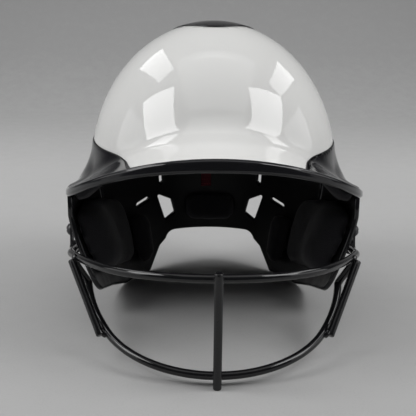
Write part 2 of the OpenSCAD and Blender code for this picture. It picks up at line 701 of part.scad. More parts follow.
module placed() { translate([0, -mid_y, 0]) children(); }
placed() main_shell();
placed() front_panel();
placed() guard_upper_bar();
placed() guard_lower_bar();
placed() guard_centre_strut();
placed() guard_left_strut();
placed() guard_right_strut();
placed() left_guard_clip();
placed() right_guard_clip();
placed() clip_bolts();
placed() clip_nuts();
placed() brow_pad();
placed() crown_pad();
placed() back_pad();
placed() nape_pad();
placed() left_temple_pad();
placed() right_temple_pad();
placed() left_jaw_pad();
placed() right_jaw_pad();
placed() left_rear_pad();
placed() right_rear_pad();
placed() pull_tab();
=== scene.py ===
"""Looks of a softball batting helmet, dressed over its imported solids.

Lengths in the shape classes are millimetres in the head frame: the front faces -Y, X = 0 is the
middle plane, Z = 0 is the table and Y = 0 is the axis of the dome. Headings go round the head in
degrees, 0 at the front. A level is a signed distance from an outline.
"""
import logging
import math
from collections.abc import Callable, Sequence
from dataclasses import dataclass, field
from enum import Enum

import bpy
import numpy as np
from mathutils import Matrix, Vector


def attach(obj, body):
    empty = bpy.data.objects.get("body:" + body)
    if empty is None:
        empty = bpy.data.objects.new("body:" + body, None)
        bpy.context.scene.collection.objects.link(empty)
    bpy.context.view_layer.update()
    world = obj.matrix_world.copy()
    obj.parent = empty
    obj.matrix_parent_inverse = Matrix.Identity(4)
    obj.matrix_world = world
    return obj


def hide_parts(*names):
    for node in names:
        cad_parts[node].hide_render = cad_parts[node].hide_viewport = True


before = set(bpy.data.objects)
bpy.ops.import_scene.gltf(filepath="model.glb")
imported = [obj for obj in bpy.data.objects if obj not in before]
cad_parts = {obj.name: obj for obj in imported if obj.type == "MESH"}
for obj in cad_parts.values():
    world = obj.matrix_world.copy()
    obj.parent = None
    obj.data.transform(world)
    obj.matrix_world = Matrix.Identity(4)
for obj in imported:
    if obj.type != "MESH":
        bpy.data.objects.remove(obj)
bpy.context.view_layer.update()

Array = np.ndarray
Level = Callable[[Array], Array]
Solid = tuple[Array, Array]
Vec = tuple[float, float, float]
Material = bpy.types.Material
Piece = bpy.types.Object
Socket = bpy.types.NodeSocket
log = logging.getLogger("helmet")

MM = 0.001
TO_ROW = np.array([0.0, 31.875, 0.0])
BODY = "root"
WIRE_SIDES = 28
TINY = 1e-12
FAR = 400.0
CLEAR = 50.0
MIRROR = np.array([-1, 1, 1])


# Small maths


def ease(t: Array) -> Array:
    """Smooth step from 0 to 1: u * u * (3 - 2u), with u held within 0 and 1."""
    u = np.clip(t, 0.0, 1.0)
    return u * u * (3.0 - 2.0 * u)


def mix(a: Array, b: Array, t: Array) -> Array:
    """Straight blend from a at t = 0 to b at t = 1."""
    return a + (b - a) * t


def bezier(a: Array, b: Array, c: Array, t: Array) -> Array:
    """Square Bezier curve from a to c that leaves and arrives along the lines to b."""
    return mix(mix(a, b, t), mix(b, c, t), t)


def unit(v: Array) -> Array:
    """Vectors along the last axis, each divided by its own length."""
    return v / np.maximum(np.linalg.norm(v, axis=-1, keepdims=True), TINY)


def cosd(a: Array) -> Array:
    """Cosine of an angle in degrees."""
    return np.cos(np.radians(a))


def sind(a: Array) -> Array:
    """Sine of an angle in degrees."""
    return np.sin(np.radians(a))


def spin(sides: int) -> Array:
    """Angles in radians of evenly spaced points round a ring."""
    return 2 * np.pi * np.arange(sides) / sides


def circle(centre: Sequence[float], r: float, a: Array) -> Array:
    """Points centre + r * (cos a, sin a) in a plane, one row each."""
    return np.array(centre) + r * np.stack([cosd(a), sind(a)], 1)


def around(r: Array, h: Array, z: Array) -> Array:
    """Points (r sin h, -r cos h, z) at radii, headings and heights."""
    return np.stack([r * sind(h), -r * cosd(h), z], axis=-1)


def polygon_distance(p: Array, q: Array, outline: Array) -> Array:
    """Distance from points to a closed outline, negative inside it.

    The distance is the least over all edges of the length of (point - nearest place on the edge),
    and the sign is the parity of the edges that a ray along +p crosses.

    Args:
        p: first coordinates of the points.
        q: second coordinates of the points.
        outline: corners of the outline, one row each.

    Returns:
        Signed distances in the shape of p.
    """
    a, b = outline, np.roll(outline, -1, axis=0)
    d = b - a
    wp, wq = p[..., None] - a[:, 0], q[..., None] - a[:, 1]
    t = np.clip((wp * d[:, 0] + wq * d[:, 1]) / np.maximum((d * d).sum(1), TINY), 0, 1)
    gap = np.hypot(wp - t * d[:, 0], wq - t * d[:, 1]).min(-1)
    crosses = (a[:, 1] > q[..., None]) != (b[:, 1] > q[..., None])
    rise = np.where(np.abs(d[:, 1]) < TINY, TINY, d[:, 1])
    hit = p[..., None] < a[:, 0] + d[:, 0] * (q[..., None] - a[:, 1]) / rise
    inside = (crosses & hit).sum(-1) % 2 == 1
    return np.where(inside, -gap, gap)


# The helmet's skin, from the same sizes as the solids


@dataclass(frozen=True)
class Skin:
    """Outer surface of the helmet as radii over heading and height."""

    dome_half_w: float = 97.5
    dome_front: float = 114.0
    dome_back: float = 118.0
    dome_rise: float = 113.0
    widest_z: float = 115.0
    nape_tuck: float = 20.0
    nape_power: float = 1.5
    flap_bulge: float = 15.0
    flap_lean_z: float = 84.0
    flap_tuck: float = 31.0
    flap_oval: float = 4.0
    lean_power: float = 1.3
    rear_lean: float = 0.7
    flap_fade_at: float = 152.0
    flap_fade: float = 60.0
    brim_half_w: float = 112.0
    brim_reach: float = 108.0
    brim_mid: float = 46.0
    brim_front_z: float = 150.0
    brim_side_z: float = 106.0
    brim_power: float = 1.56
    sweep_h: float = 30.0
    shoulder_sweep: float = 1.1
    flare_power: float = 5.5
    bead_h: float = 7.2
    bead_side: float = 0.63
    bead_fade: float = 36.0
    shoulder_drop: float = 18.0
    shoulder_turn: float = 35.0
    shoulder_blend: float = 30.0
    skirt_blend: float = 10.0
    flap_side_h: float = 12.0
    flap_side_turn: float = 10.0
    slope_step: float = 0.2

    @property
    def brim_end(self) -> float:
        """Heading at which the brim is widest."""
        return math.degrees(math.atan2(self.brim_half_w, self.brim_mid))

    @property
    def top_z(self) -> float:
        """Height of the crown."""
        return self.widest_z + self.dome_rise

    def fold(self, h: Array) -> Array:
        """Heading folded onto the right half, 0 to 180."""
        return np.abs(np.mod(h + 180.0, 360.0) - 180.0)

    def dome_r(self, h: Array, z: Array) -> Array:
        """Radius of the dome: sqrt(1 - rise^2) / norm of (sin h / half width, cos h / reach).

        Args:
            h: headings.
            z: heights.

        Returns:
            Radii.
        """
        reach = np.where(cosd(h) > 0, self.dome_front, self.dome_back)
        rise = np.clip((z - self.widest_z) / self.dome_rise, 0, 1)
        return np.sqrt(1 - rise * rise) / np.hypot(sind(h) / self.dome_half_w, cosd(h) / reach)

    def lean(self, z: Array) -> Array:
        """How far a flap leans in: the tuck times a power of the share of the way to the table."""
        down = np.maximum(self.flap_lean_z - z, 0) / self.flap_lean_z
        return self.flap_tuck * down ** self.lean_power

    def skirt_r(self, h: Array, z: Array) -> Array:
        """Radius of the flaps and nape: a fourth-power oval up to the ears, an ellipse behind them.

        Args:
            h: headings.
            z: heights.

        Returns:
            Radii.
        """
        w = ease((self.flap_fade_at - self.fold(h)) / self.flap_fade)
        half_w = self.dome_half_w + self.flap_bulge * w - self.lean(z) * mix(self.rear_lean, 1.0, w)
        drop = np.clip((self.widest_z - z) / self.widest_z, 0, None)
        back = self.dome_back - self.nape_tuck * drop ** self.nape_power
        s, c, power = np.abs(sind(h)), np.abs(cosd(h)), self.flap_oval
        front = ((s / half_w) ** power + (c / self.dome_front) ** power) ** (-1 / power)
        return np.where(cosd(h) > 0, front, 1 / np.hypot(s / half_w, c / back))

    def brim_r(self, h: Array) -> Array:
        """Radius of the brim's outline: the far root of an ellipse about a place off the axis.

        Args:
            h: headings.

        Returns:
            Radii.
        """
        a = (sind(h) / self.brim_half_w) ** 2 + (cosd(h) / self.brim_reach) ** 2
        b = -2 * self.brim_mid * cosd(h) / self.brim_reach ** 2
        c = (self.brim_mid / self.brim_reach) ** 2 - 1
        return (np.sqrt(b * b - 4 * a * c) - b) / (2 * a)

    def bead_tall(self, h: Array) -> Array:
        """Height of the rolled edge, which narrows from the front towards the sides."""
        return self.bead_h * mix(1.0, self.bead_side, ease(self.fold(h) / self.bead_fade))

    def edge_z(self, h: Array) -> Array:
        """Height of the brim's edge, carried back along the flap's shoulder.

        It goes from the side's height to the front's by a power of the share of the brim's reach.

        Args:
            h: headings.

        Returns:
            Heights.
        """
        f = self.fold(h)
        forward = np.maximum((self.brim_r(f) * cosd(f) - self.brim_mid) / self.brim_reach, 0)
        front = mix(self.brim_side_z, self.brim_front_z, forward ** self.brim_power)
        fallen = self.shoulder_drop * ease((f - self.brim_end) / self.shoulder_turn)
        return np.where(f <= self.brim_end, front, self.brim_side_z - fallen)

    def shoulder(self, h: Array) -> Array:
        """Share of the way from the brim, 0, to the flap's shoulder, 1."""
        return ease((self.fold(h) - self.brim_end) / self.shoulder_blend)

    def sweep(self, h: Array) -> Array:
        """Height over which the dome sweeps out to the brim or the shoulder."""
        return self.sweep_h * mix(1.0, self.shoulder_sweep, self.shoulder(h))

    def on_flap(self, f: Array, z: Array) -> Array:
        """Share of the way from the brim's outline to the flap's.

        It is one less (1 - behind)(1 - under), for behind the brim's end and under its edge.

        Args:
            f: folded headings.
            z: heights.

        Returns:
            Shares from 0 to 1.
        """
        past = f - self.brim_end
        behind = ease(past / self.skirt_blend)
        under = ease((self.edge_z(f) - self.bead_tall(f) - z) / self.flap_side_h)
        under = under * ease(past / self.flap_side_turn + 2)
        return 1 - (1 - behind) * (1 - under)

    def radius(self, h: Array, z: Array) -> Array:
        """Radius of the whole skin: the dome, blended into the brim or skirt down the sweep.

        Args:
            h: headings.
            z: heights.

        Returns:
            Radii.
        """
        f = self.fold(h)
        low = mix(self.brim_r(f), self.skirt_r(f, z), self.on_flap(f, z))
        t = np.clip((z - self.edge_z(f)) / self.sweep(f), 0, 1)
        k = mix((1 - t) ** self.flare_power, ease(1 - t), self.shoulder(f))
        return mix(self.dome_r(f, z), low, k)

    def slope(self, h: Array, z: Array) -> Array:
        """Change of radius with height."""
        d = self.slope_step
        return (self.radius(h, z + d) - self.radius(h, z - d)) / (2 * d)

    def profile(self, h: Array, z: Array, depth: Array) -> tuple[Array, Array]:
        """The skin moved inwards, square to its meridian.

        Args:
            h: headings.
            z: heights on the skin.
            depth: distances inwards.

        Returns:
            Radii and heights.
        """
        slope = self.slope(h, z)
        n = depth / np.hypot(1.0, slope)
        return self.radius(h, z) - n, z + slope * n

    def point(self, h: Array, z: Array, depth: Array) -> Array:
        """Points under the skin at headings, heights and depths."""
        r, z_in = self.profile(h, z, depth)
        return around(r, h, z_in)


@dataclass(frozen=True)
class Meridians:
    """Rows and columns laid over the skin, addressed by fractional numbers.

    Rows run down each meridian: the dome from its pole, the sweep, a rounded turn at the brim's
    edge and the skirt. Columns are closer together round the vents.
    """

    skin: Skin = field(default_factory=Skin)
    dome_rows: int = 32
    sweep_rows: int = 22
    turn_rows: int = 6
    skirt_rows: int = 56
    turn_out: float = 2.0
    turn_in: float = 5.0
    full_turn_depth: float = 4.0
    crowding: float = 1.6
    coarse: tuple[float, float, float] = (0.0, 96.0, 1.5)
    fine: tuple[float, float, float] = (96.0, 168.0, 0.8)
    rear: tuple[float, float, int] = (168.0, 180.0, 9)
    edge_steps: tuple[float, float] = (0.05, 0.45)
    beside_turn: float = 0.3

    @property
    def rows(self) -> int:
        """Number of the last row."""
        return self.dome_rows + self.sweep_rows + self.turn_rows + self.skirt_rows

    def headings(self) -> Array:
        """Headings of the columns, one whole turn without its end."""
        half = np.concatenate([np.arange(*self.coarse), np.arange(*self.fine),
                               np.linspace(*self.rear)])
        return np.concatenate([half, 360.0 - half[-2:0:-1]])

    def heading_at(self, column: Array) -> Array:
        """Heading at a fractional column.

        Args:
            column: fractional columns, which may pass either end of the turn by one.

        Returns:
            Headings.
        """
        table = self.headings()
        wide = np.concatenate([[table[-1] - 360], table, [360.0, 360.0 + table[1]]])
        return np.interp(column, np.arange(-1, len(table) + 2), wide)

    def turn(self, h: Array, depth: float) -> tuple[Array, Array, Array]:
        """Where the rounding of the brim's corner starts and ends on a meridian.

        Args:
            h: headings.
            depth: distance under the skin; the rounding is wider further in.

        Returns:
            Heights of its upper end, of its lower end and of the corner.
        """
        size = mix(self.turn_out, self.turn_in, min(depth / self.full_turn_depth, 1.0))
        edge = self.skin.edge_z(h)
        near, far = self.edge_steps
        steep = (self.skin.radius(h, edge + far) - self.skin.radius(h, edge + near)) / (far - near)
        return edge + size / np.hypot(1.0, steep), edge - size, edge

    def facing(self, h: Array, z: Array) -> Array:
        """Inward unit direction, as radius and height, square to a meridian."""
        return unit(np.stack([-np.ones_like(h), self.skin.slope(h, z)], -1))

    def place(self, column: Array, row: Array, depth: float) -> Array:
        """Points of the grid under the skin.

        Down the dome the height is widest + rise * cos(angle), down the sweep it closes on the edge
        by a power of the row, round the turn it is a square Bezier curve about the mitred corner,
        and down the skirt it is a straight blend to the table.

        Args:
            column: fractional columns.
            row: fractional rows.
            depth: distance under the skin.

        Returns:
            Points along the last axis.
        """
        s, h = self.skin, self.heading_at(column)
        high, low, edge = self.turn(h, depth)
        top = s.edge_z(h) + s.sweep(h)
        sweep_end = self.dome_rows + self.sweep_rows
        turn_end = sweep_end + self.turn_rows
        last = np.arccos(np.clip((top - s.widest_z) / s.dome_rise, -1, 1))
        z_dome = s.widest_z + s.dome_rise * np.cos(last * np.clip(row / self.dome_rows, 0, 1))
        share = 1 - np.clip((row - self.dome_rows) / self.sweep_rows, 0, 1)
        z_sweep = mix(high, top, share ** self.crowding)
        z_skirt = mix(low, 0.0, np.clip((row - turn_end) / self.skirt_rows, 0, 1))
        z = np.where(row <= self.dome_rows, z_dome, np.where(row <= sweep_end, z_sweep, z_skirt))
        above = self.facing(h, high + self.beside_turn)
        below = self.facing(h, low - self.beside_turn)
        mitre = (depth / (1 + (above * below).sum(-1)))[..., None] * (above + below)
        corner = np.stack([s.radius(h, edge), edge], -1) + mitre
        curve = bezier(np.stack(s.profile(h, high, depth), -1), corner,
                       np.stack(s.profile(h, low, depth), -1),
                       np.clip((row - sweep_end) / self.turn_rows, 0, 1)[..., None])
        in_turn = ((row > sweep_end) & (row < turn_end))[..., None]
        where = np.where(in_turn, curve, np.stack(s.profile(h, z, depth), -1))
        pole = row == 0
        return around(np.where(pole, 0.0, where[..., 0]), h,
                      np.where(pole, s.top_z - depth, where[..., 1]))


@dataclass
class CutGrid:
    """A grid of the skin whose vertices near an outline have moved onto it.

    A zero less than `reach` of an edge away takes a vertex, or `pole_reach` towards the pole from
    the first ring. A secant step is held within `stride`.
    """

    lines: Meridians
    column: Array
    row: Array
    reach: float = 0.501
    pole_reach: float = 0.9
    stride: float = 0.15
    longest: float = 0.95
    flat_level: float = 1e-6
    close_level: float = 1e-4

    @classmethod
    def of(cls, lines: Meridians, levels: Sequence[Level]) -> tuple["CutGrid", list[Array]]:
        """Snaps a full grid to the zero lines of several levels that don't cross.

        Args:
            lines: the rows and columns.
            levels: functions of a point, positive on the side that is kept.

        Returns:
            The grid, and for each level the sign at each vertex, 0 on the line.
        """
        row, column = np.meshgrid(np.arange(lines.rows + 1.0),
                                  np.arange(float(len(lines.headings()))), indexing="ij")
        grid = cls(lines, column, row)
        return grid, [grid.snap(level) for level in levels]

    def crossings(self, f: Array) -> tuple[Array, Array]:
        """Nearest zero of a level along the grid's edges.

        Along an edge whose ends have opposite signs the zero lies at f / (f - g) of the edge.

        Args:
            f: the level at each vertex.

        Returns:
            The step in column and row to the neighbour, and the share of it at which the zero lies.
        """
        best = np.full(f.shape, self.reach)
        move = np.zeros(f.shape + (2,))
        for axis, step in ((0, 1), (0, -1), (1, 1), (1, -1)):
            g = np.roll(f, -step, axis=axis)
            near = f * g < 0
            if axis == 0:
                near[-1 if step == 1 else 0] = False
            near[0] = False
            limit = np.full(f.shape, self.reach)
            if axis == 0 and step == -1:
                limit[1] = self.pole_reach
            t = f / np.where(near, f - g, 1.0)
            use = near & (t < np.maximum(best, limit)) & ((t < best) | (best > 0.5))
            best = np.where(use, t, best)
            move[use] = 0
            move[..., 1 - axis] = np.where(use, step, move[..., 1 - axis])
        return move, best

    def snap(self, level: Level) -> Array:
        """Moves vertices onto a level's zero line, found along an edge.

        Two secant steps mend the place.

        Args:
            level: function of a point, positive on the side that is kept.

        Returns:
            The level's sign at each vertex, 0 on the line.
        """
        f = level(self.lines.place(self.column, self.row, 0.0))
        move, share = self.crossings(f)
        snapped = np.abs(move).sum(-1) > 0
        t = np.where(snapped, share, 0.0)
        before, at = np.zeros_like(t), f
        for _ in range(2):
            now = level(self.lines.place(self.column + move[..., 0] * t,
                                         self.row + move[..., 1] * t, 0.0))
            change = np.where(np.abs(now - at) < self.flat_level, 1.0, now - at)
            fresh = np.clip(t - now * (t - before) / change, t - self.stride, t + self.stride)
            mend = snapped & (np.abs(now) > self.close_level)
            before, at, t = t, now, np.where(mend, np.clip(fresh, 0, self.longest), t)
        self.column = self.column + move[..., 0] * t
        self.row = self.row + move[..., 1] * t
        return np.where(snapped, 0, np.sign(f)).astype(int)

    def points(self, depth: float) -> Array:
        """All vertices at a depth, one row each."""
        return self.lines.place(self.column, self.row, depth).reshape(-1, 3)

    def cells(self, sign: Array) -> Array:
        """All of the grid's cells as triangles, split along a level's line where it crosses them.

        Args:
            sign: the level's sign at each vertex, flat.

        Returns:
            Vertex numbers, three a row, turned outwards, with the first row made one pole.
        """
        rows, cols = self.column.shape
        quad = grid_faces(rows, cols, True)[:, [0, 3, 2, 1]]
        s = sign[quad]
        other = (s[:, 1] == 0) & (s[:, 3] == 0) & ~((s[:, 0] == 0) & (s[:, 2] == 0))
        split = np.where(other[:, None, None], quad[:, [[0, 1, 3], [1, 2, 3]]],
                         quad[:, [[0, 1, 2], [0, 2, 3]]]).reshape(-1, 3)
        split = np.where(split < cols, 0, split)
        return split[(split != np.roll(split, 1, axis=1)).all(1)]

    def triangles(self, sign: Array, side: int, among: Array | None = None) -> Array:
        """Triangles of the grid on one side of a level.

        Args:
            sign: the level's sign at each vertex.
            side: 1 or -1, the side wanted.
            among: triangles to choose from; all of the grid's cells if None.

        Returns:
            Vertex numbers, three a row, turned outwards.
        """
        among = self.cells(sign.ravel()) if among is None else among
        s = sign.ravel()[among] * side
        return among[(s.sum(1) > 0) & (s.min(1) >= 0)]


def open_edges(faces: Array) -> Array:
    """Directed edges of triangles that no other triangle takes the other way.

    Args:
        faces: vertex numbers, three a row.

    Returns:
        Vertex numbers, two a row.
    """
    edges = np.concatenate([faces[:, [0, 1]], faces[:, [1, 2]], faces[:, [2, 0]]])
    return edges[~listed(edges, edges[:, ::-1])]


def listed(edges: Array, among: Array) -> Array:
    """Which directed edges are found among others, by the key first * count + second."""
    top = int(max(edges.max(), among.max())) + 1
    return np.isin(edges @ [top, 1], among @ [top, 1])


def away(points: Array, normal: Array, edges: Array) -> Array:
    """Directions in the surface that leave it at its open edges.

    Each is the mean over a vertex's open edges of (edge direction x outward normal), made a unit.

    Args:
        points: the surface's vertices.
        normal: outward direction at each vertex.
        edges: its open edges.

    Returns:
        A direction for each vertex, zero where it has no open edge.
    """
    out = np.zeros_like(points)
    along = unit(points[edges[:, 1]] - points[edges[:, 0]])
    for end in (0, 1):
        np.add.at(out, edges[:, end], np.cross(along, normal[edges[:, end]]))
    return unit(out)


@dataclass
class MeshParts:
    """Vertices and triangles that pieces of one closed surface are gathered into."""

    points: list[Array] = field(default_factory=list)
    faces: list[Array] = field(default_factory=list)
    tags: list[Array] = field(default_factory=list)
    count: int = 0

    def add_points(self, points: Array) -> Array:
        """Adds points and returns their numbers.

        Args:
            points: places, one row each.

        Returns:
            The number of each.
        """
        self.points.append(points)
        self.count += len(points)
        return np.arange(self.count - len(points), self.count)

    def add_faces(self, faces: Array, tag: int) -> None:
        """Adds faces that carry one material tag."""
        self.faces.append(faces)
        self.tags.append(np.full(len(faces), tag))

    def lip(self, edges: Array, start: Array, end: Array, out: Array, bulge: float, steps: int,
            quarter: bool = False) -> None:
        """Joins two copies of an outline by a rounded wall.

        At a share u of the way the wall is at start + (end - start) * (1 - cos(pi u)) / 2, and
        stands out by bulge * sin(pi u). A quarter lip rounds only its first part: the depth goes as
        1 - cos and the bulge as sin of a quarter turn over the first steps, and the last step is
        straight.

        Args:
            edges: directed open edges as numbers into start and end.
            start: numbers of the first copy's vertices in this mesh.
            end: numbers of the second copy's vertices.
            out: direction that the wall stands out in, for each vertex.
            bulge: how far it stands out.
            steps: rows of faces.
            quarter: whether only the first corner is rounded.
        """
        everything = np.concatenate(self.points)
        used, place = np.unique(edges, return_inverse=True)
        p, q = place.reshape(edges.shape).T
        a, b = everything[start[used]], everything[end[used]]
        tall = np.linalg.norm(b - a, axis=1, keepdims=True)
        rows = [start[used]]
        for k in range(1, steps):
            u = math.pi / 2 * k / (steps - 1) if quarter else math.pi * k / steps
            depth = (1 - math.cos(u)) * (bulge / tall if quarter else 0.5)
            rows.append(self.add_points(mix(a, b, depth) + bulge * math.sin(u) * out[used]))
        rows.append(end[used])
        for upper, lower in zip(rows, rows[1:]):
            quad = np.stack([upper[q], upper[p], lower[p], lower[q]], 1)
            self.add_faces(quad[:, [[0, 1, 2], [0, 2, 3]]].reshape(-1, 3), 0)

    def piece(self, name: str, finishes: Sequence[Material]) -> Piece:
        """Makes the gathered surface an object, without the vertices that no face uses.

        Args:
            name: name of the piece.
            finishes: materials of the tags.

        Returns:
            The object.
        """
        points, faces = np.concatenate(self.points), np.concatenate(self.faces)
        used, faces = np.unique(faces, return_inverse=True)
        return mesh_piece(name, points[used], faces.reshape(-1, 3), finishes,
                          np.concatenate(self.tags))


def mesh_piece(name: str, points: Array, faces: Array, finishes: Sequence[Material],
               tags: Array | None = None, sharp: float = 40.0) -> Piece:
    """Makes a smooth object from arrays.

    Args:
        name: name of the object and its mesh.
        points: vertices in millimetres in the head frame.
        faces: vertex numbers, one row a face.
        finishes: materials of the slots.
        tags: slot of each face.
        sharp: angle in degrees past which an edge is kept sharp.

    Returns:
        The object, at the origin.
    """
    mesh = bpy.data.meshes.new(name)
    row = (points + TO_ROW) * MM
    mesh.vertices.add(len(row))
    mesh.vertices.foreach_set("co", row.astype(np.float32).ravel())
    mesh.loops.add(faces.size)
    mesh.loops.foreach_set("vertex_index", faces.astype(np.int32).ravel())
    mesh.polygons.add(len(faces))
    mesh.polygons.foreach_set("loop_start",
                              np.arange(0, faces.size, faces.shape[1], dtype=np.int32))
    mesh.update(calc_edges=True)
    mesh.validate()
    mesh.polygons.foreach_set("use_smooth", np.ones(len(mesh.polygons), bool))
    for finish in finishes:
        mesh.materials.append(finish)
    if tags is not None and len(tags) == len(mesh.polygons):
        mesh.polygons.foreach_set("material_index", tags.astype(np.int32))
    mesh.set_sharp_from_angle(angle=math.radians(sharp))
    piece = bpy.data.objects.new(name, mesh)
    bpy.context.scene.collection.objects.link(piece)
    return piece


def grid_faces(rows: int, cols: int, wrap: bool) -> Array:
    """Quads of a grid of vertices.

    Args:
        rows: number of rows.
        cols: number of columns.
        wrap: whether the last column joins the first.

    Returns:
        Vertex numbers, four a row.
    """
    a = np.arange(rows - 1)[:, None] * cols
    c = np.arange(cols if wrap else cols - 1)
    d = (c + 1) % cols
    return np.stack([a + c, a + d, a + cols + d, a + cols + c], -1).reshape(-1, 4)


def stack_faces(rings: int, sides: int) -> Array:
    """Quads of a stack of rings, closed at both ends by strips across the first and last ring.

    Args:
        rings: number of rings.
        sides: points round each, an even number.

    Returns:
        Vertex numbers, four a row.
    """
    k = np.arange(sides // 2 - 1)
    strip = np.stack([k, k + 1, sides - 2 - k, sides - 1 - k], 1)
    return np.concatenate([grid_faces(rings, sides, True), strip[:, ::-1],
                           strip + (rings - 1) * sides])


def gather(parts: Sequence[Solid]) -> Solid:
    """Joins separate meshes of quads into one.

    Args:
        parts: points and quads of each.

    Returns:
        Points and quads of all.
    """
    starts = np.cumsum([0] + [len(p) for p, _ in parts[:-1]])
    return (np.concatenate([p for p, _ in parts]),
            np.concatenate([f + s for (_, f), s in zip(parts, starts)]))


def settle(piece: Piece, slot: str, *nodes: str) -> None:
    """Puts a piece on the body, hides the nodes that it stands for, and reports it.

    Args:
        piece: the piece.
        slot: name of its slot; not used.
        nodes: names of the nodes that it stands for.
    """
    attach(piece, BODY)
    if nodes:
        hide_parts(*nodes)
    log.info("%s: %d vertices, stands for %s", piece.name, len(piece.data.vertices),
             ", ".join(nodes) or "nothing")


# Finishes


def fill(node: bpy.types.Node, **values: float | tuple) -> bpy.types.Node:
    """Sets a node's inputs by name, with underscores for spaces.

    Args:
        node: the node.
        values: value of each input.

    Returns:
        The node.
    """
    for name, value in values.items():
        node.inputs[name.replace("_", " ")].default_value = value
    return node


class Nodes:
    """Adds and links the shader nodes of one material."""

    def __init__(self, name: str, **values: float | tuple) -> None:
        """Starts a material with its Principled shader.

        Args:
            name: name of the material.
            values: the shader's plain values.
        """
        self.material = bpy.data.materials.new(name)
        self.material.use_nodes = True
        self.tree = self.material.node_tree
        self.shader = fill(self.tree.nodes["Principled BSDF"], **values)
        self.coords = self.add("TexCoord")

    def add(self, kind: str, **values: float | tuple) -> bpy.types.Node:
        """Adds a node of a kind and sets its inputs."""
        return fill(self.tree.nodes.new("ShaderNode" + kind), **values)

    def link(self, source: Socket, node: bpy.types.Node, name: str) -> None:
        """Links a socket to a node's input."""
        self.tree.links.new(source, node.inputs[name])

    def feed(self, name: str, source: Socket) -> None:
        """Links a socket to the shader's input of a name."""
        self.link(source, self.shader, name)

    def noise(self, scale: float, detail: float, stretch: Vec | None = None,
              turn: Vec = (0.0, 0.0, 0.0)) -> Socket:
        """Noise in Object coordinates.

        Args:
            scale: features a metre.
            detail: octaves.
            stretch: scale of each axis, for streaks.
            turn: rotation of the pattern in radians.

        Returns:
            The factor socket.
        """
        node = self.add("TexNoise", Scale=scale, Detail=detail)
        source = self.coords.outputs["Object"]
        if stretch:
            mapping = self.add("Mapping", Scale=stretch, Rotation=turn)
            self.link(source, mapping, "Vector")
            source = mapping.outputs["Vector"]
        self.link(source, node, "Vector")
        return node.outputs["Fac"]

    def range(self, source: Socket, low: float, high: float, to_low: float = 0.0,
              to_high: float = 1.0) -> Socket:
        """Maps a factor from one range to another, held within it.

        Args:
            source: the factor.
            low: value that becomes to_low.
            high: value that becomes to_high.
            to_low: first end of the new range.
            to_high: second end of the new range.

        Returns:
            The mapped socket.
        """
        node = self.add("MapRange", From_Min=low, From_Max=high, To_Min=to_low, To_Max=to_high)
        self.link(source, node, "Value")
        return node.outputs["Result"]

    def cloud(self, scale: float, detail: float, low: float, high: float) -> Socket:
        """Noise whose middle part is spread over a range."""
        return self.range(self.noise(scale, detail), 0.3, 0.7, low, high)

    def blend(self, factor: Socket, a: Vec, b: Vec) -> None:
        """Mixes two colours by a factor into the shader's colour.

        Args:
            factor: the factor.
            a: colour at 0.
            b: colour at 1.
        """
        node = self.add("Mix")
        node.data_type = "RGBA"
        fill(node, A=(*a, 1.0), B=(*b, 1.0))
        self.link(factor, node, "Factor")
        self.feed("Base Color", node.outputs["Result"])

    def math(self, kind: str, a: Socket, b: Socket | float | None = None) -> Socket:
        """Combines two factors, or changes one.

        Args:
            kind: the operation.
            a: first factor.
            b: second factor, a number, or None.

        Returns:
            The result.
        """
        node = self.add("Math")
        node.operation = kind
        self.tree.links.new(a, node.inputs[0])
        if isinstance(b, float):
            node.inputs[1].default_value = b
        elif b is not None:
            self.tree.links.new(b, node.inputs[1])
        return node.outputs[0]

    def streaks(self, noise: Socket, width: float) -> Socket:
        """Thin lines where a noise nears its middle."""
        apart = self.math("ABSOLUTE", self.math("SUBTRACT", noise, 0.5))
        return self.range(apart, 0.0, width, 1.0, 0.0)

    def bump(self, height: Socket, distance: float, strength: float = 1.0) -> None:
        """Feeds a height to the shader's normal, after any earlier bump.

        Args:
            height: the height.
            distance: metres for a height of 1.
            strength: share of the bump.
        """
        node = self.add("Bump", Distance=distance, Strength=strength)
        self.link(height, node, "Height")
        before = self.shader.inputs["Normal"]
        if before.is_linked:
            self.link(before.links[0].from_socket, node, "Normal")
        self.feed("Normal", node.outputs["Normal"])


@dataclass(frozen=True)
class GlossPlastic:
    """Moulded gloss plastic with a faint orange peel and fine handling scuffs."""

    name: str
    colour: Vec
    worn: Vec
    roughness: float
    scuffed: float
    dulled: float = 0.25
    peel: float = 0.00004

    def build(self) -> Material:
        """Makes the material: two sets of streaks, shown in patches, lighten and dull it.

        Returns:
            The material.
        """
        n = Nodes(self.name)
        along = n.streaks(n.noise(240, 3, (1.0, 9.0, 2.0), (0.5, 0.3, 0.9)), 0.012)
        across = n.streaks(n.noise(300, 2, (7.0, 1.0, 1.6), (0.2, 0.9, 0.4)), 0.01)
        patches = n.range(n.noise(22, 1), 0.56, 0.68)
        marks = n.math("MULTIPLY", n.math("MAXIMUM", along, across), patches)
        n.blend(n.math("MULTIPLY", marks, self.scuffed), self.colour, self.worn)
        cloudy = n.cloud(35, 3, self.roughness * 0.8, self.roughness * 1.25)
        n.feed("Roughness", n.math("ADD", cloudy, n.math("MULTIPLY", marks, self.dulled)))
        n.bump(n.noise(130, 2), self.peel)
        return n.material


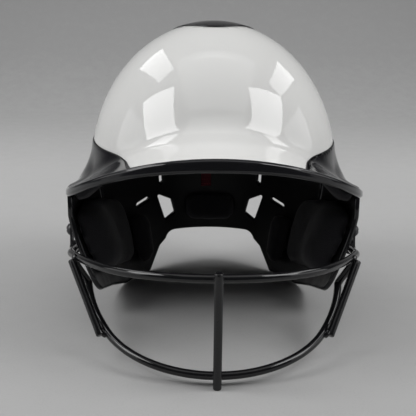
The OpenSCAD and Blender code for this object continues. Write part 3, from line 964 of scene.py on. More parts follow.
@dataclass(frozen=True)
class PlainSurface:
    """A surface of one material with small lighter spots, a cloudy roughness and a fine relief.

    `spots` is a noise's scale and detail and the factors at which a spot starts and is full,
    `shine` a noise's scale and detail and the two roughnesses, and `relief` a noise's scale and a
    depth in metres.
    """

    name: str
    colour: Vec
    light: Vec
    spots: tuple[float, float, float, float]
    shine: tuple[float, float, float, float]
    relief: tuple[float, float]
    metallic: float = 0.0

    @classmethod
    def satin_plastic(cls, name: str, colour: Vec) -> "PlainSurface":
        """The unpolished inner face of the moulding, with a fine even grain."""
        light = tuple(c * 1.6 for c in colour)
        return cls(name, colour, light, (60, 3, 0, 1), (90, 2, 0.36, 0.5), (1400, 0.00003))

    @classmethod
    def coated_wire(cls, name: str, colour: Vec) -> "PlainSurface":
        """Thick dipped coating over steel wire, with dust and a soft ripple."""
        light = tuple(c + 0.015 for c in colour)
        return cls(name, colour, light, (700, 3, 0.62, 0.75), (160, 3, 0.08, 0.16),
                   (220, 0.00004))

    @classmethod
    def painted_steel(cls, name: str, colour: Vec, roughness: float,
                      metallic: float = 0.0) -> "PlainSurface":
        """Satin paint or bare metal on small fittings, rubbed a little brighter in places."""
        light = tuple(min(1.0, c * 1.7 + 0.02) for c in colour)
        return cls(name, colour, light, (420, 4, 0.58, 0.72),
                   (500, 3, roughness - 0.08, roughness + 0.1), (1800, 0.00004), metallic)

    def build(self) -> Material:
        """Makes the material from three noises.

        Returns:
            The material.
        """
        n = Nodes(self.name, Metallic=self.metallic)
        scale, detail, start, full = self.spots
        n.blend(n.range(n.noise(scale, detail), start, full), self.colour, self.light)
        n.feed("Roughness", n.cloud(*self.shine))
        scale, depth = self.relief
        n.bump(n.noise(scale, 2), depth)
        return n.material


@dataclass(frozen=True)
class BrushedFabric:
    """Short brushed knit over foam: a fine pile over a fine cell pattern."""

    name: str
    colour: Vec
    light: Vec
    cell_scale: float = 900.0
    cell_h: float = 0.00035
    pile_h: float = 0.0003
    relief: float = 0.5

    def build(self) -> Material:
        """Makes the material: pile noise over cells, with a soft sheen.

        Returns:
            The material.
        """
        n = Nodes(self.name, Roughness=0.92, Sheen_Weight=0.22, Sheen_Roughness=0.45,
                  Specular_IOR_Level=0.2)
        pile, cloud = n.noise(1900, 4), n.noise(70, 3)
        n.blend(n.math("ADD", n.math("MULTIPLY", pile, 0.6), n.math("MULTIPLY", cloud, 0.4)),
                self.colour, self.light)
        cells = n.add("TexVoronoi", Scale=self.cell_scale)
        n.link(n.coords.outputs["Object"], cells, "Vector")
        n.bump(cells.outputs["Distance"], self.cell_h, self.relief)
        n.bump(pile, self.pile_h, self.relief)
        return n.material


@dataclass(frozen=True)
class Webbing:
    """Woven tape whose threads follow its length, read from its UV map in millimetres."""

    name: str
    colour: Vec
    deep: Vec
    thread_scales: tuple[tuple[str, float], ...] = (("X", 0.34), ("Y", 0.3))

    def build(self) -> Material:
        """Makes the material: two sets of threads as waves across and along the tape.

        Returns:
            The material.
        """
        n = Nodes(self.name, Roughness=0.8, Sheen_Weight=0.2)
        waves = []
        for direction, scale in self.thread_scales:
            wave = n.add("TexWave", Scale=scale, Distortion=0.3)
            wave.bands_direction = direction
            n.link(n.coords.outputs["UV"], wave, "Vector")
            waves.append(wave.outputs["Fac"])
        weave = n.math("MULTIPLY", *waves)
        fuzz = n.math("MULTIPLY", n.noise(800, 2), 0.3)
        n.blend(n.math("ADD", n.math("MULTIPLY", weave, 0.8), fuzz), self.deep, self.colour)
        n.bump(weave, 0.0003, 0.8)
        return n.material


@dataclass(frozen=True)
class Stitching:
    """Twisted sewing thread."""

    name: str
    colour: Vec

    def build(self) -> Material:
        """Makes the material from fine fibre noise.

        Returns:
            The material.
        """
        n = Nodes(self.name, Roughness=0.7, Sheen_Weight=0.15)
        light = tuple(c * 1.8 + 0.01 for c in self.colour)
        n.blend(n.noise(2600, 2, (1.0, 4.0, 1.0)), self.colour, light)
        n.bump(n.noise(3000, 2), 0.00005)
        return n.material


# Shell and panel


@dataclass(frozen=True)
class Openings:
    """Outlines that are cut from the shell, each as a level that is negative inside the cut.

    A vent or slot is placed by a heading and a height. Each of `slots` also has a tilt, a length
    and a width. `sole` is where the flap's lower edge meets the table, as y and z.
    """

    skin: Skin = field(default_factory=Skin)
    under: float = 20.0
    flap_front: float = 48.0
    throat_h: float = 14.0
    toe_z: float = 18.0
    toe_r: float = 16.0
    sole: tuple[tuple[float, float], ...] = ((36.0, -1.0), (60.0, -20.0))
    ear_d: float = 24.0
    ear_y: float = 27.0
    ear_z: float = 62.0
    port_top_w: float = 41.5
    port_low_w: float = 56.0
    port_h: float = 31.5
    port_r: float = 8.0
    port_splay: float = 8.0
    knee_at: float = 0.62
    vent_at: tuple[float, float] = (156.5, 51.0)
    vent_corners: tuple[tuple[float, float], ...] = (
        (-8.0, 16.0), (-0.9, -9.0), (9.0, -3.5), (6.3, 9.5))
    vent_shrink: float = 0.8
    vent_r: float = 1.2
    slots: tuple[tuple[float, float, float, float, float], ...] = (
        (155.0, 86.5, 0.0, 20.0, 3.0), (142.5, 62.5, 74.0, 16.0, 3.0),
        (115.0, 80.0, 0.0, 20.0, 2.2))
    nut_d: float = 8.0
    nut_at: tuple[float, float] = (-26.82, 66.74)
    rear_from_y: float = 20.0
    wall_from: float = 40.0
    flap_from_x: float = 60.0

    def face(self, p: Array) -> Array:
        """The open front in side view: under the brim, in front of the flaps and round their toes.

        Args:
            p: points.

        Returns:
            Levels.
        """
        s = self.skin
        h = s.brim_end * np.arange(29) / 28
        brim = np.stack([-s.brim_r(h) * cosd(h), s.edge_z(h) - s.bead_tall(h)], 1)
        toe = circle([self.toe_r - self.flap_front, self.toe_z + self.toe_r], self.toe_r,
                     np.arange(180, 256, 7.5))
        outline = np.concatenate([[[-FAR, -self.under], [-FAR, s.brim_front_z - s.bead_h]], brim,
                                  [[-self.flap_front, s.brim_side_z - self.throat_h]], toe,
                                  self.sole])
        return polygon_distance(p[..., 1], p[..., 2], outline)

    def port(self, p: Array) -> Array:
        """The ponytail port, seen from behind: splayed at the table and round at its upper corners.

        Args:
            p: points.

        Returns:
            Levels.
        """
        r, w, low_w, h = self.port_r, self.port_top_w, self.port_low_w, self.port_h
        knee = [mix(low_w, w, self.knee_at), h * self.knee_at]
        half = np.concatenate([[[low_w + self.port_splay, -self.under], [low_w, -1], knee],
                               circle([w - r, h - r], r, np.arange(10, 91, 16))])
        outline = np.concatenate([half * [-1, 1], half[::-1]])
        level = polygon_distance(p[..., 0], p[..., 2], outline)
        return np.where(p[..., 1] > self.rear_from_y, level, CLEAR)

    def seen(self, p: Array, at: float, z: float) -> tuple[Array, Array, Array]:
        """Points as seen square to the wall at a place, on either side of the helmet.

        Args:
            p: points.
            at: the place's heading.
            z: its height.

        Returns:
            Sideways and upward distances, and which points face the view.
        """
        x, y = np.abs(p[..., 0]), p[..., 1]
        return (x * cosd(at) + y * sind(at), p[..., 2] - z,
                x * sind(at) - y * cosd(at) > self.wall_from)

    def vents(self, p: Array) -> Array:
        """Four-sided vents and round-ended slots on both sides: the least distance to any of them.

        Args:
            p: points.

        Returns:
            Levels.
        """
        side, up, faces = self.seen(p, *self.vent_at)
        corners = np.array(self.vent_corners)
        outline = mix(corners.mean(0), corners, self.vent_shrink)
        least = np.where(faces, polygon_distance(side, up, outline) - self.vent_r, CLEAR)
        for at, z, tilt, length, w in self.slots:
            side, up, faces = self.seen(p, at, z)
            along = up * cosd(tilt) + side * sind(tilt)
            across = side * cosd(tilt) - up * sind(tilt)
            past = np.maximum(np.abs(along) - (length - w) / 2, 0)
            least = np.minimum(least, np.where(faces, np.hypot(past, across) - w / 2, CLEAR))
        return least

    def holes(self, p: Array) -> Array:
        """Round ear openings and nut holes in the flaps.

        Args:
            p: points.

        Returns:
            Levels.
        """
        ear = np.hypot(p[..., 1] - self.ear_y, p[..., 2] - self.ear_z) - self.ear_d / 2
        nut = np.hypot(p[..., 1] - self.nut_at[0], p[..., 2] - self.nut_at[1]) - self.nut_d / 2
        return np.where(np.abs(p[..., 0]) > self.flap_from_x, np.minimum(ear, nut), CLEAR)

    def level(self, lip: float) -> Level:
        """Distance to the nearest cut or to the table, less what the rounded lip takes up."""
        return lambda p: np.minimum.reduce(
            [self.face(p), self.port(p), self.vents(p), self.holes(p), p[..., 2]]) - lip


@dataclass(frozen=True)
class PanelOutline:
    """The part of the skin that the white panel covers, as a level that is positive inside it."""

    skin: Skin = field(default_factory=Skin)
    low_z: float = 136.5
    rise_y: float = 86.0
    rise: float = 0.07
    corner_y: float = 12.0
    corner_r: float = 12.0
    lean: float = 24.0
    lean_end: float = 14.0
    border_w: float = 3.4
    tongue_sweep: float = 26.0
    tongue_y: float = -24.0
    tongue_half_w: float = 47.0
    tongue_deep: float = 40.0

    def side(self) -> Array:
        """Outline of the panel in side view.

        Returns:
            Its corners as y and z, one row each.
        """
        rear = self.corner_y + self.lean
        return np.concatenate([
            [[-FAR, self.low_z + self.rise * (FAR - self.rise_y)], [-self.rise_y, self.low_z]],
            circle([self.corner_y - self.corner_r, self.low_z + self.corner_r], self.corner_r,
                   np.arange(270, 361, 10)),
            [[rear, self.skin.top_z - self.lean_end], [rear, FAR], [-FAR, FAR]]])

    def border(self, p: Array) -> Array:
        """Distance inside the border that is left free along the brim's edge."""
        h = np.degrees(np.arctan2(p[..., 0], -p[..., 1]))
        return self.skin.brim_r(h) - self.border_w - np.hypot(p[..., 0], p[..., 1])

    def tongue(self, p: Array) -> Array:
        """Distance in front of the crown tongue, a parabola seen from above.

        It is how far y lies in front of the parabola, over the length of that value's gradient.

        Args:
            p: points.

        Returns:
            Levels.
        """
        x, y = p[..., 0], p[..., 1]
        ahead = x ** 2 / self.tongue_sweep + self.tongue_y - y
        near = (p[..., 2] > self.skin.top_z - self.tongue_deep) & (np.abs(x) < self.tongue_half_w)
        return np.where(near, ahead / np.hypot(1.0, 2 * x / self.tongue_sweep), CLEAR)

    def level(self, gap: float) -> Level:
        """Least distance to the side edges, the brim's border and the crown tongue, less a gap."""
        outline = self.side()
        return lambda p: np.minimum.reduce([
            -polygon_distance(p[..., 1], p[..., 2], outline), self.border(p), self.tongue(p)]) - gap


@dataclass(frozen=True)
class Shell:
    """The black moulding: an outer skin with a recess for the panel, an inner skin and lips."""

    wall: float = 4.0
    lip: float = 1.3
    recess: float = 2.4
    step_r: float = 0.5
    lip_rows: int = 6
    step_rows: int = 4

    def build(self, gloss: Material, inside: Material) -> None:
        """Makes the shell as one closed mesh.

        Args:
            gloss: finish of the outer skin.
            inside: finish of the inner skin.
        """
        levels = [Openings().level(self.lip), PanelOutline().level(-self.step_r)]
        grid, (keep, white) = CutGrid.of(Meridians(), levels)
        kept = grid.triangles(keep, 1)
        black, let_in = grid.triangles(-white, 1, kept), grid.triangles(white, 1, kept)
        outer, inner = grid.points(0.0), grid.points(self.wall)
        normal = unit(outer - inner)
        mesh = MeshParts()
        skin_at = mesh.add_points(outer)
        sunk_at = mesh.add_points(grid.points(self.recess))
        inner_at = mesh.add_points(inner)
        mesh.add_faces(skin_at[black], 0)
        mesh.add_faces(sunk_at[let_in], 1)
        mesh.add_faces(inner_at[kept][:, ::-1], 1)
        rim = open_edges(kept)
        mesh.lip(rim, skin_at, inner_at, away(outer, normal, rim), self.lip, self.lip_rows)
        step = open_edges(black)
        step = step[~listed(step, rim)]
        mesh.lip(step, skin_at, sunk_at, away(outer, normal, step), self.step_r, self.step_rows,
                 quarter=True)
        settle(mesh.piece("shell", [gloss, inside]), "shell_black", "main_shell")


@dataclass(frozen=True)
class Panel:
    """The white panel: a thin closed sheet let into the shell."""

    under: float = 0.7
    thick: float = 1.4
    gap: float = 0.3
    edge_r: float = 0.45
    edge_rows: int = 4

    def build(self, gloss: Material) -> None:
        """Makes the panel from the skin's own grid, cut along its outline.

        Args:
            gloss: its finish.
        """
        level = PanelOutline().level(self.gap + self.edge_r)
        grid, (white,) = CutGrid.of(Meridians(), [level])
        kept = grid.triangles(white, 1)
        outer, inner = grid.points(self.under), grid.points(self.under + self.thick)
        mesh = MeshParts()
        top, low = mesh.add_points(outer), mesh.add_points(inner)
        mesh.add_faces(top[kept], 0)
        mesh.add_faces(low[kept][:, ::-1], 0)
        rim = open_edges(kept)
        mesh.lip(rim, top, low, away(outer, unit(outer - inner), rim), self.edge_r, self.edge_rows)
        settle(mesh.piece("white_panel", [gloss]), "panel_white", "front_panel")


# Face guard


def arc_end(start: Array, heading: float, r: float, turn: Array) -> Array:
    """End of an arc in a plane: start + r * (sin(a + turn) - sin a, cos a - cos(a + turn))."""
    return np.stack([start[0] + r * (sind(heading + turn) - sind(heading)),
                     start[1] + r * (cosd(heading) - cosd(heading + turn))], -1)


def arc(start: Array, heading: float, r: float, turn: float, steps: int) -> Array:
    """Points of an arc after its start, at even shares of its turn."""
    return arc_end(start, heading, r, np.linspace(0, turn, steps)[1:])


def straight(start: Array, heading: float, length: float, steps: int) -> Array:
    """Points of a straight after its start: start + share * length * (cos a, sin a)."""
    return start + np.outer(np.linspace(0, length, steps)[1:], [cosd(heading), sind(heading)])


def tilted(p: Array, y: float, z: float, tilt: float) -> Array:
    """Points of a plane through (0, -y, z) that rises backwards by a tilt."""
    return np.stack([p[..., 0], p[..., 1] * cosd(tilt) - y, z + p[..., 1] * sind(tilt)], -1)


def tube(path: Array, r: float) -> Solid:
    """A round wire along a path that never runs along Z, with rounded ends.

    Each ring is path + r * (u cos w + v sin w), where u = tangent x Z and v = u x tangent, and the
    ends close by rings whose radius falls as the cosine while they move out by the sine of a
    quarter turn.

    Args:
        path: centre points in order.
        r: radius of the wire.

    Returns:
        Points and quads.
    """
    tangent = unit(np.gradient(path, axis=0))
    a = np.array([15, 32, 50, 68, 84, 89.5])
    centre = np.concatenate([path[0] - r * np.outer(sind(a[::-1]), tangent[0]), path,
                             path[-1] + r * np.outer(sind(a), tangent[-1])])
    way = np.concatenate([np.repeat(tangent[:1], len(a), 0), tangent,
                          np.repeat(tangent[-1:], len(a), 0)])
    size = np.concatenate([cosd(a[::-1]), np.ones(len(path)), cosd(a)])
    u = unit(np.cross(way, (0, 0, 1)))
    v = np.cross(u, way)
    w = spin(WIRE_SIDES)[:, None]
    ring = u[:, None] * np.cos(w) + v[:, None] * np.sin(w)
    points = (centre[:, None] + r * size[:, None, None] * ring).reshape(-1, 3)
    return points, stack_faces(len(centre), WIRE_SIDES)


def lathe(centre: Array, axes: Array, outline: Array, sides: int) -> Solid:
    """An outline turned round an axis: centre + r cos w * x + r sin w * y + h * z.

    Args:
        centre: place that heights are counted from.
        axes: directions x, y and z, one a row, which may be scaled.
        outline: radius r and height h of each ring.
        sides: points round a ring.

    Returns:
        Points and quads.
    """
    w = spin(sides)
    r, h = outline[:, :1], outline[:, 1:]
    local = np.stack([r * np.cos(w), r * np.sin(w), h + 0 * w], -1).reshape(-1, 3)
    return centre + local @ axes, stack_faces(len(outline), sides)


def rod(a: Array, b: Array, r: float, soft: float) -> Solid:
    """A straight round rod: a flat end, a quarter circle, the side and the same again.

    Args:
        a: centre of one end.
        b: centre of the other end.
        r: radius of the rod.
        soft: radius of the rounding at the ends.

    Returns:
        Points and quads.
    """
    long, d = np.linalg.norm(b - a), unit(b - a)
    turn = np.linspace(0, 90, 6)
    deep, wide = soft * (1 - cosd(turn)), r - soft + soft * sind(turn)
    side = np.linspace(soft, long - soft, 22)[1:-1]
    flat = [0.3 * r]
    along = np.concatenate([[0.0], deep, side, long - deep[::-1], [long]])
    radius = np.concatenate([flat, wide, np.full(len(side), r), wide[::-1], flat])
    u = unit(np.cross(d, [0.0, 1.0, 0.3]))
    return lathe(a, np.stack([u, np.cross(d, u), d]), np.stack([radius, along], 1), WIRE_SIDES)


def blob(centre: Array, axes: Array, radii: Vec, rings: int = 14, sides: int = 24) -> Solid:
    """A closed rounded lump: centre + sum of axis * radius * (cos b cos a, cos b sin a, sin b).

    Args:
        centre: its middle.
        axes: three unit directions, one a row.
        radii: its half sizes along them.
        rings: rings from pole to pole.
        sides: points round a ring.

    Returns:
        Points and quads.
    """
    outline = circle([0, 0], 1, np.linspace(-89.5, 89.5, rings))
    return lathe(centre, axes * np.array(radii)[:, None], outline, sides)


@dataclass(frozen=True)
class Guard:
    """The coated wire guard: two bars, a centre strut and a strut at each side, welded together.

    Each half of a bar is a bow in front and a flatter side in one tilted plane. The upper bar ends
    in a straight along the flap, and the lower bar in a leg that rises to the upper bar.
    """

    wire_d: float = 5.8
    weld_gap: float = 0.05
    upper_y: float = 173.0
    upper_z: float = 77.0
    upper_tilt: float = 9.3
    upper_bow: float = 91.08
    upper_turn: float = 59.0
    upper_side: float = 319.0
    upper_side_turn: float = 11.5
    upper_run: float = 3.0
    upper_bend: float = 29.0
    upper_end: float = 40.4
    lower_y: float = 167.2
    lower_z: float = 7.0
    lower_tilt: float = 15.0
    lower_bow: float = 85.48
    lower_turn: float = 63.0
    lower_side: float = 191.0
    lower_side_turn: float = 19.0
    knee_run: float = 2.0
    knee_share: float = 0.25
    leg_at: float = 0.96
    leg_in: float = 0.6
    leg_under: float = 1.02
    strut_at: float = 0.72
    strut_over: float = 3.0
    strut_past: float = 1.5
    strut_short: float = 1.0
    strut_low_z: float = 0.1
    strut_soft: float = 0.9
    side_weld: Vec = (3.6, 2.0, 2.4)
    front_weld: Vec = (3.6, 2.0, 2.8)
    leg_weld_in: float = 0.3
    leg_weld_way: Vec = (0.3, 0.95, 0.0)

    @property
    def off(self) -> float:
        """Distance between the centres of two wires that lie against each other."""
        return self.wire_d + self.weld_gap

    def upper(self, p: Array) -> Array:
        """Points of the upper bar's plane, which falls towards the flaps."""
        return tilted(p, self.upper_y, self.upper_z, -self.upper_tilt)

    def lower(self, p: Array) -> Array:
        """Points of the lower bar's plane, which rises towards the flaps."""
        return tilted(p, self.lower_y, self.lower_z, self.lower_tilt)

    def bow(self, r: float, turn: float, side_r: float, side_turn: float, steps: int) -> Array:
        """Front bow and side of half a bar in its plane, two arcs that meet smoothly.

        Args:
            r: radius of the bow.
            turn: how far the bow turns.
            side_r: radius of the side.
            side_turn: how far the side turns.
            steps: points of the side.

        Returns:
            Points, one row each.
        """
        front = arc_end(np.zeros(2), 0, r, np.linspace(0, turn, 40))
        return np.concatenate([front, arc(front[-1], turn, side_r, side_turn, steps)])

    def side_spot(self, share: float) -> Array:
        """A place along the upper bar's side."""
        p1 = arc_end(np.zeros(2), 0, self.upper_bow, self.upper_turn)
        return self.upper(arc_end(p1, self.upper_turn, self.upper_side,
                                  self.upper_side_turn * share))

    def upper_half(self) -> Array:
        """Right half of the upper bar: bow, side, straight, bend and end.

        Returns:
            Points, one row each.
        """
        a = self.upper_turn + self.upper_side_turn
        bow = self.bow(self.upper_bow, self.upper_turn, self.upper_side, self.upper_side_turn, 26)
        run = straight(bow[-1], a, self.upper_run, 5)
        bend = arc(run[-1], a, self.upper_bend, 90 - a, 8)
        end = straight(bend[-1], 90, self.upper_end, 8)
        return self.upper(np.concatenate([bow, run, bend, end]))

    def lower_half(self) -> Array:
        """Right half of the lower bar: bow, side and a leg that bends up to the upper bar.

        Returns:
            Points, one row each.
        """
        a = self.lower_turn + self.lower_side_turn
        bow = self.bow(self.lower_bow, self.lower_turn, self.lower_side, self.lower_side_turn, 18)
        top = self.side_spot(self.leg_at) - [self.leg_in, 0, self.off * self.leg_under]
        knee = self.lower(straight(bow[-1], a, self.knee_run, 2)[0])
        out = mix(knee, top, self.knee_share)
        low = self.lower(bow)
        bend = bezier(low[-1], knee, out, np.linspace(0, 1, 14)[1:, None])
        rise = mix(out, top, np.linspace(0, 1, 10)[1:, None])
        return np.concatenate([low, bend, rise])

    def bar(self, half: Array) -> Solid:
        """A bar from its right half and the half's mirror image."""
        return tube(np.concatenate([half[:0:-1] * MIRROR, half]), self.wire_d / 2)

    def contacts(self) -> list[tuple[Array, Array]]:
        """Where a side strut meets the two bars.

        Returns:
            For the lower and the upper bar, its centre and the way out to the strut.
        """
        high = self.upper_turn + self.upper_side_turn * self.strut_at
        foot = self.lower(arc_end(np.zeros(2), 0, self.lower_bow, self.lower_turn))
        return [(spot, np.array([sind(turn), -cosd(turn), 0]))
                for spot, turn in ((foot, self.lower_turn), (self.side_spot(self.strut_at), high))]

    def strut_ends(self) -> dict[str, tuple[Array, Array]]:
        """Lower and upper ends of the three struts.

        Returns:
            Two points for each node's name.
        """
        foot, high = [spot + self.off * way for spot, way in self.contacts()]
        d = unit(high - foot)
        low, top = foot - self.strut_past * d, high - self.strut_short * d
        tall = self.upper_z + self.wire_d / 2 + self.strut_over
        return {"guard_centre_strut": (np.array([0, -self.lower_y - self.off, self.strut_low_z]),
                                       np.array([0, -self.upper_y - self.off, tall])),
                "guard_right_strut": (low, top),
                "guard_left_strut": (low * MIRROR, top * MIRROR)}

    def welds(self) -> list[Solid]:
        """Small rounded beads where a strut or a leg touches a bar.

        Returns:
            Points and quads of each.
        """
        low, top = self.strut_ends()["guard_right_strut"]
        spots = [(spot + 0.5 * self.off * out, unit(top - low)) for spot, out in self.contacts()]
        spots.append((self.side_spot(self.leg_at) - [self.leg_weld_in, 0, 0.5 * self.off],
                      np.array(self.leg_weld_way)))
        parts = []
        for spot, along in spots:
            for side in (np.ones(3), MIRROR):
                a = unit(along * side)
                b = unit(np.cross(a, [0.0, 0.3, 1.0]))
                axes = np.stack([a, b, np.cross(a, b)])
                parts.append(blob(spot * side, axes, self.side_weld))
        for y, z in ((self.upper_y, self.upper_z), (self.lower_y, self.lower_z)):
            centre = np.array([0.0, -y - self.off / 2, z])
            parts.append(blob(centre, np.eye(3), self.front_weld))
        return parts

    def build(self, coating: Material) -> None:
        """Makes the five wires and the beads of weld between them.

        Args:
            coating: their finish.
        """
        wires = {"guard_upper_bar": self.bar(self.upper_half()),
                 "guard_lower_bar": self.bar(self.lower_half())}
        for name, (a, b) in self.strut_ends().items():
            wires[name] = rod(a, b, self.wire_d / 2, self.strut_soft)
        for name, (points, faces) in wires.items():
            wire = mesh_piece(name.replace("guard_", "wire_"), points, faces, [coating], sharp=60)
            settle(wire, "guard_coating", name)
        beads = mesh_piece("guard_welds", *gather(self.welds()), [coating], sharp=60)
        settle(beads, "guard_coating")


@dataclass(frozen=True)
class Bolts:
    """Domed cross-recess screws that hold the clips."""

    x: float = 108.54
    y: float = -26.82
    z: float = 66.74
    head_d: float = 10.5
    head_h: float = 3.6
    rim: tuple[tuple[float, float], ...] = ((0.1, 0.35), (0.5, 0.5))
    shank_d: float = 5.0
    under: float = 3.87
    below: float = 8.1
    recess_w: float = 1.5
    recess_l: float = 5.6
    recess_h: float = 1.7
    recess_wall: float = 0.45
    recess_bias: float = 0.3
    recess_past: float = 0.6
    recess_fade: float = 1.5
    sides: int = 96
    rings: int = 40

    def head(self) -> Solid:
        """The head and shank as one closed form about +Z.

        The dome is the cap of a sphere. The cross is sunk into it by recess_h times an eased step
        of the distance inside the nearer of two crossed bars.

        Returns:
            Points and quads.
        """
        radius = (self.head_d ** 2 / 4 + self.head_h ** 2) / (2 * self.head_h)
        rho = np.linspace(0.004, 1, self.rings) * self.head_d / 2
        cap = np.sqrt(radius ** 2 - rho ** 2) - (radius - self.head_h)
        rim = [[self.head_d / 2 - inwards, -down] for inwards, down in self.rim]
        half_d, tip = self.shank_d / 2, -self.under - self.below
        shank = [[half_d, -self.rim[-1][1]], [half_d, tip], [0.02, tip]]
        outline = np.concatenate([np.stack([rho, cap], 1), rim, shank])
        points, faces = lathe(np.zeros(3), np.eye(3), outline, self.sides)
        top = points[:self.rings * self.sides]
        x, y = np.abs(top[:, :2].T)
        bars = [np.maximum(p - self.recess_l / 2, q - self.recess_w / 2)
                for p, q in ((x, y), (y, x))]
        inside = ease(-np.minimum(*bars) / self.recess_wall + self.recess_bias)
        fade = ease((self.recess_l / 2 + self.recess_past - np.hypot(x, y)) / self.recess_fade)
        top[:, 2] -= self.recess_h * inside * fade
        return points, faces[:, ::-1]

    def build(self, paint: Material) -> None:
        """Makes both bolts, each along its own side's X.

        Args:
            paint: their finish.
        """
        points, faces = self.head()
        bolts = [(np.stack([side * (points[:, 2] + self.x + self.under), points[:, 0] + self.y,
                            side * points[:, 1] + self.z], -1), faces) for side in (1, -1)]
        settle(mesh_piece("clip_screws", *gather(bolts), [paint], sharp=35), "bolt_black",
               "clip_bolts")


# Pads


@dataclass(frozen=True)
class PadShape:
    """Place and size of a pad on the inner skin; a negative half heading mirrors it."""

    node: str
    at: float
    half_at: float
    z: float
    half_z: float
    thick: float
    rear_thick: float
    fall: float = 0.0
    draw: float = 0.16
    follows: bool = False


class PadSpot(Enum):
    """The pads that lie on the sides, the front and the back."""

    BROW = PadShape("brow_pad", 0.0, 46.0, 172.0, 15.0, 12.0, 12.0, follows=True)
    BACK = PadShape("back_pad", 180.0, 34.0, 124.0, 24.0, 12.0, 12.0)
    NAPE = PadShape("nape_pad", 180.0, 13.5, 50.5, 13.5, 9.6, 9.6)
    LEFT_TEMPLE = PadShape("left_temple_pad", -88.0, -22.0, 112.0, 21.0, 12.0, 12.0)
    RIGHT_TEMPLE = PadShape("right_temple_pad", 88.0, 22.0, 112.0, 21.0, 12.0, 12.0)
    LEFT_JAW = PadShape("left_jaw_pad", -97.5, -29.5, 49.0, 30.0, 24.0, 12.0, 7.0, 0.09)
    RIGHT_JAW = PadShape("right_jaw_pad", 97.5, 29.5, 49.0, 30.0, 24.0, 12.0, 7.0, 0.09)
    LEFT_REAR = PadShape("left_rear_pad", -136.0, -7.0, 31.0, 22.0, 11.0, 11.0)
    RIGHT_REAR = PadShape("right_rear_pad", 136.0, 7.0, 31.0, 22.0, 11.0, 11.0)


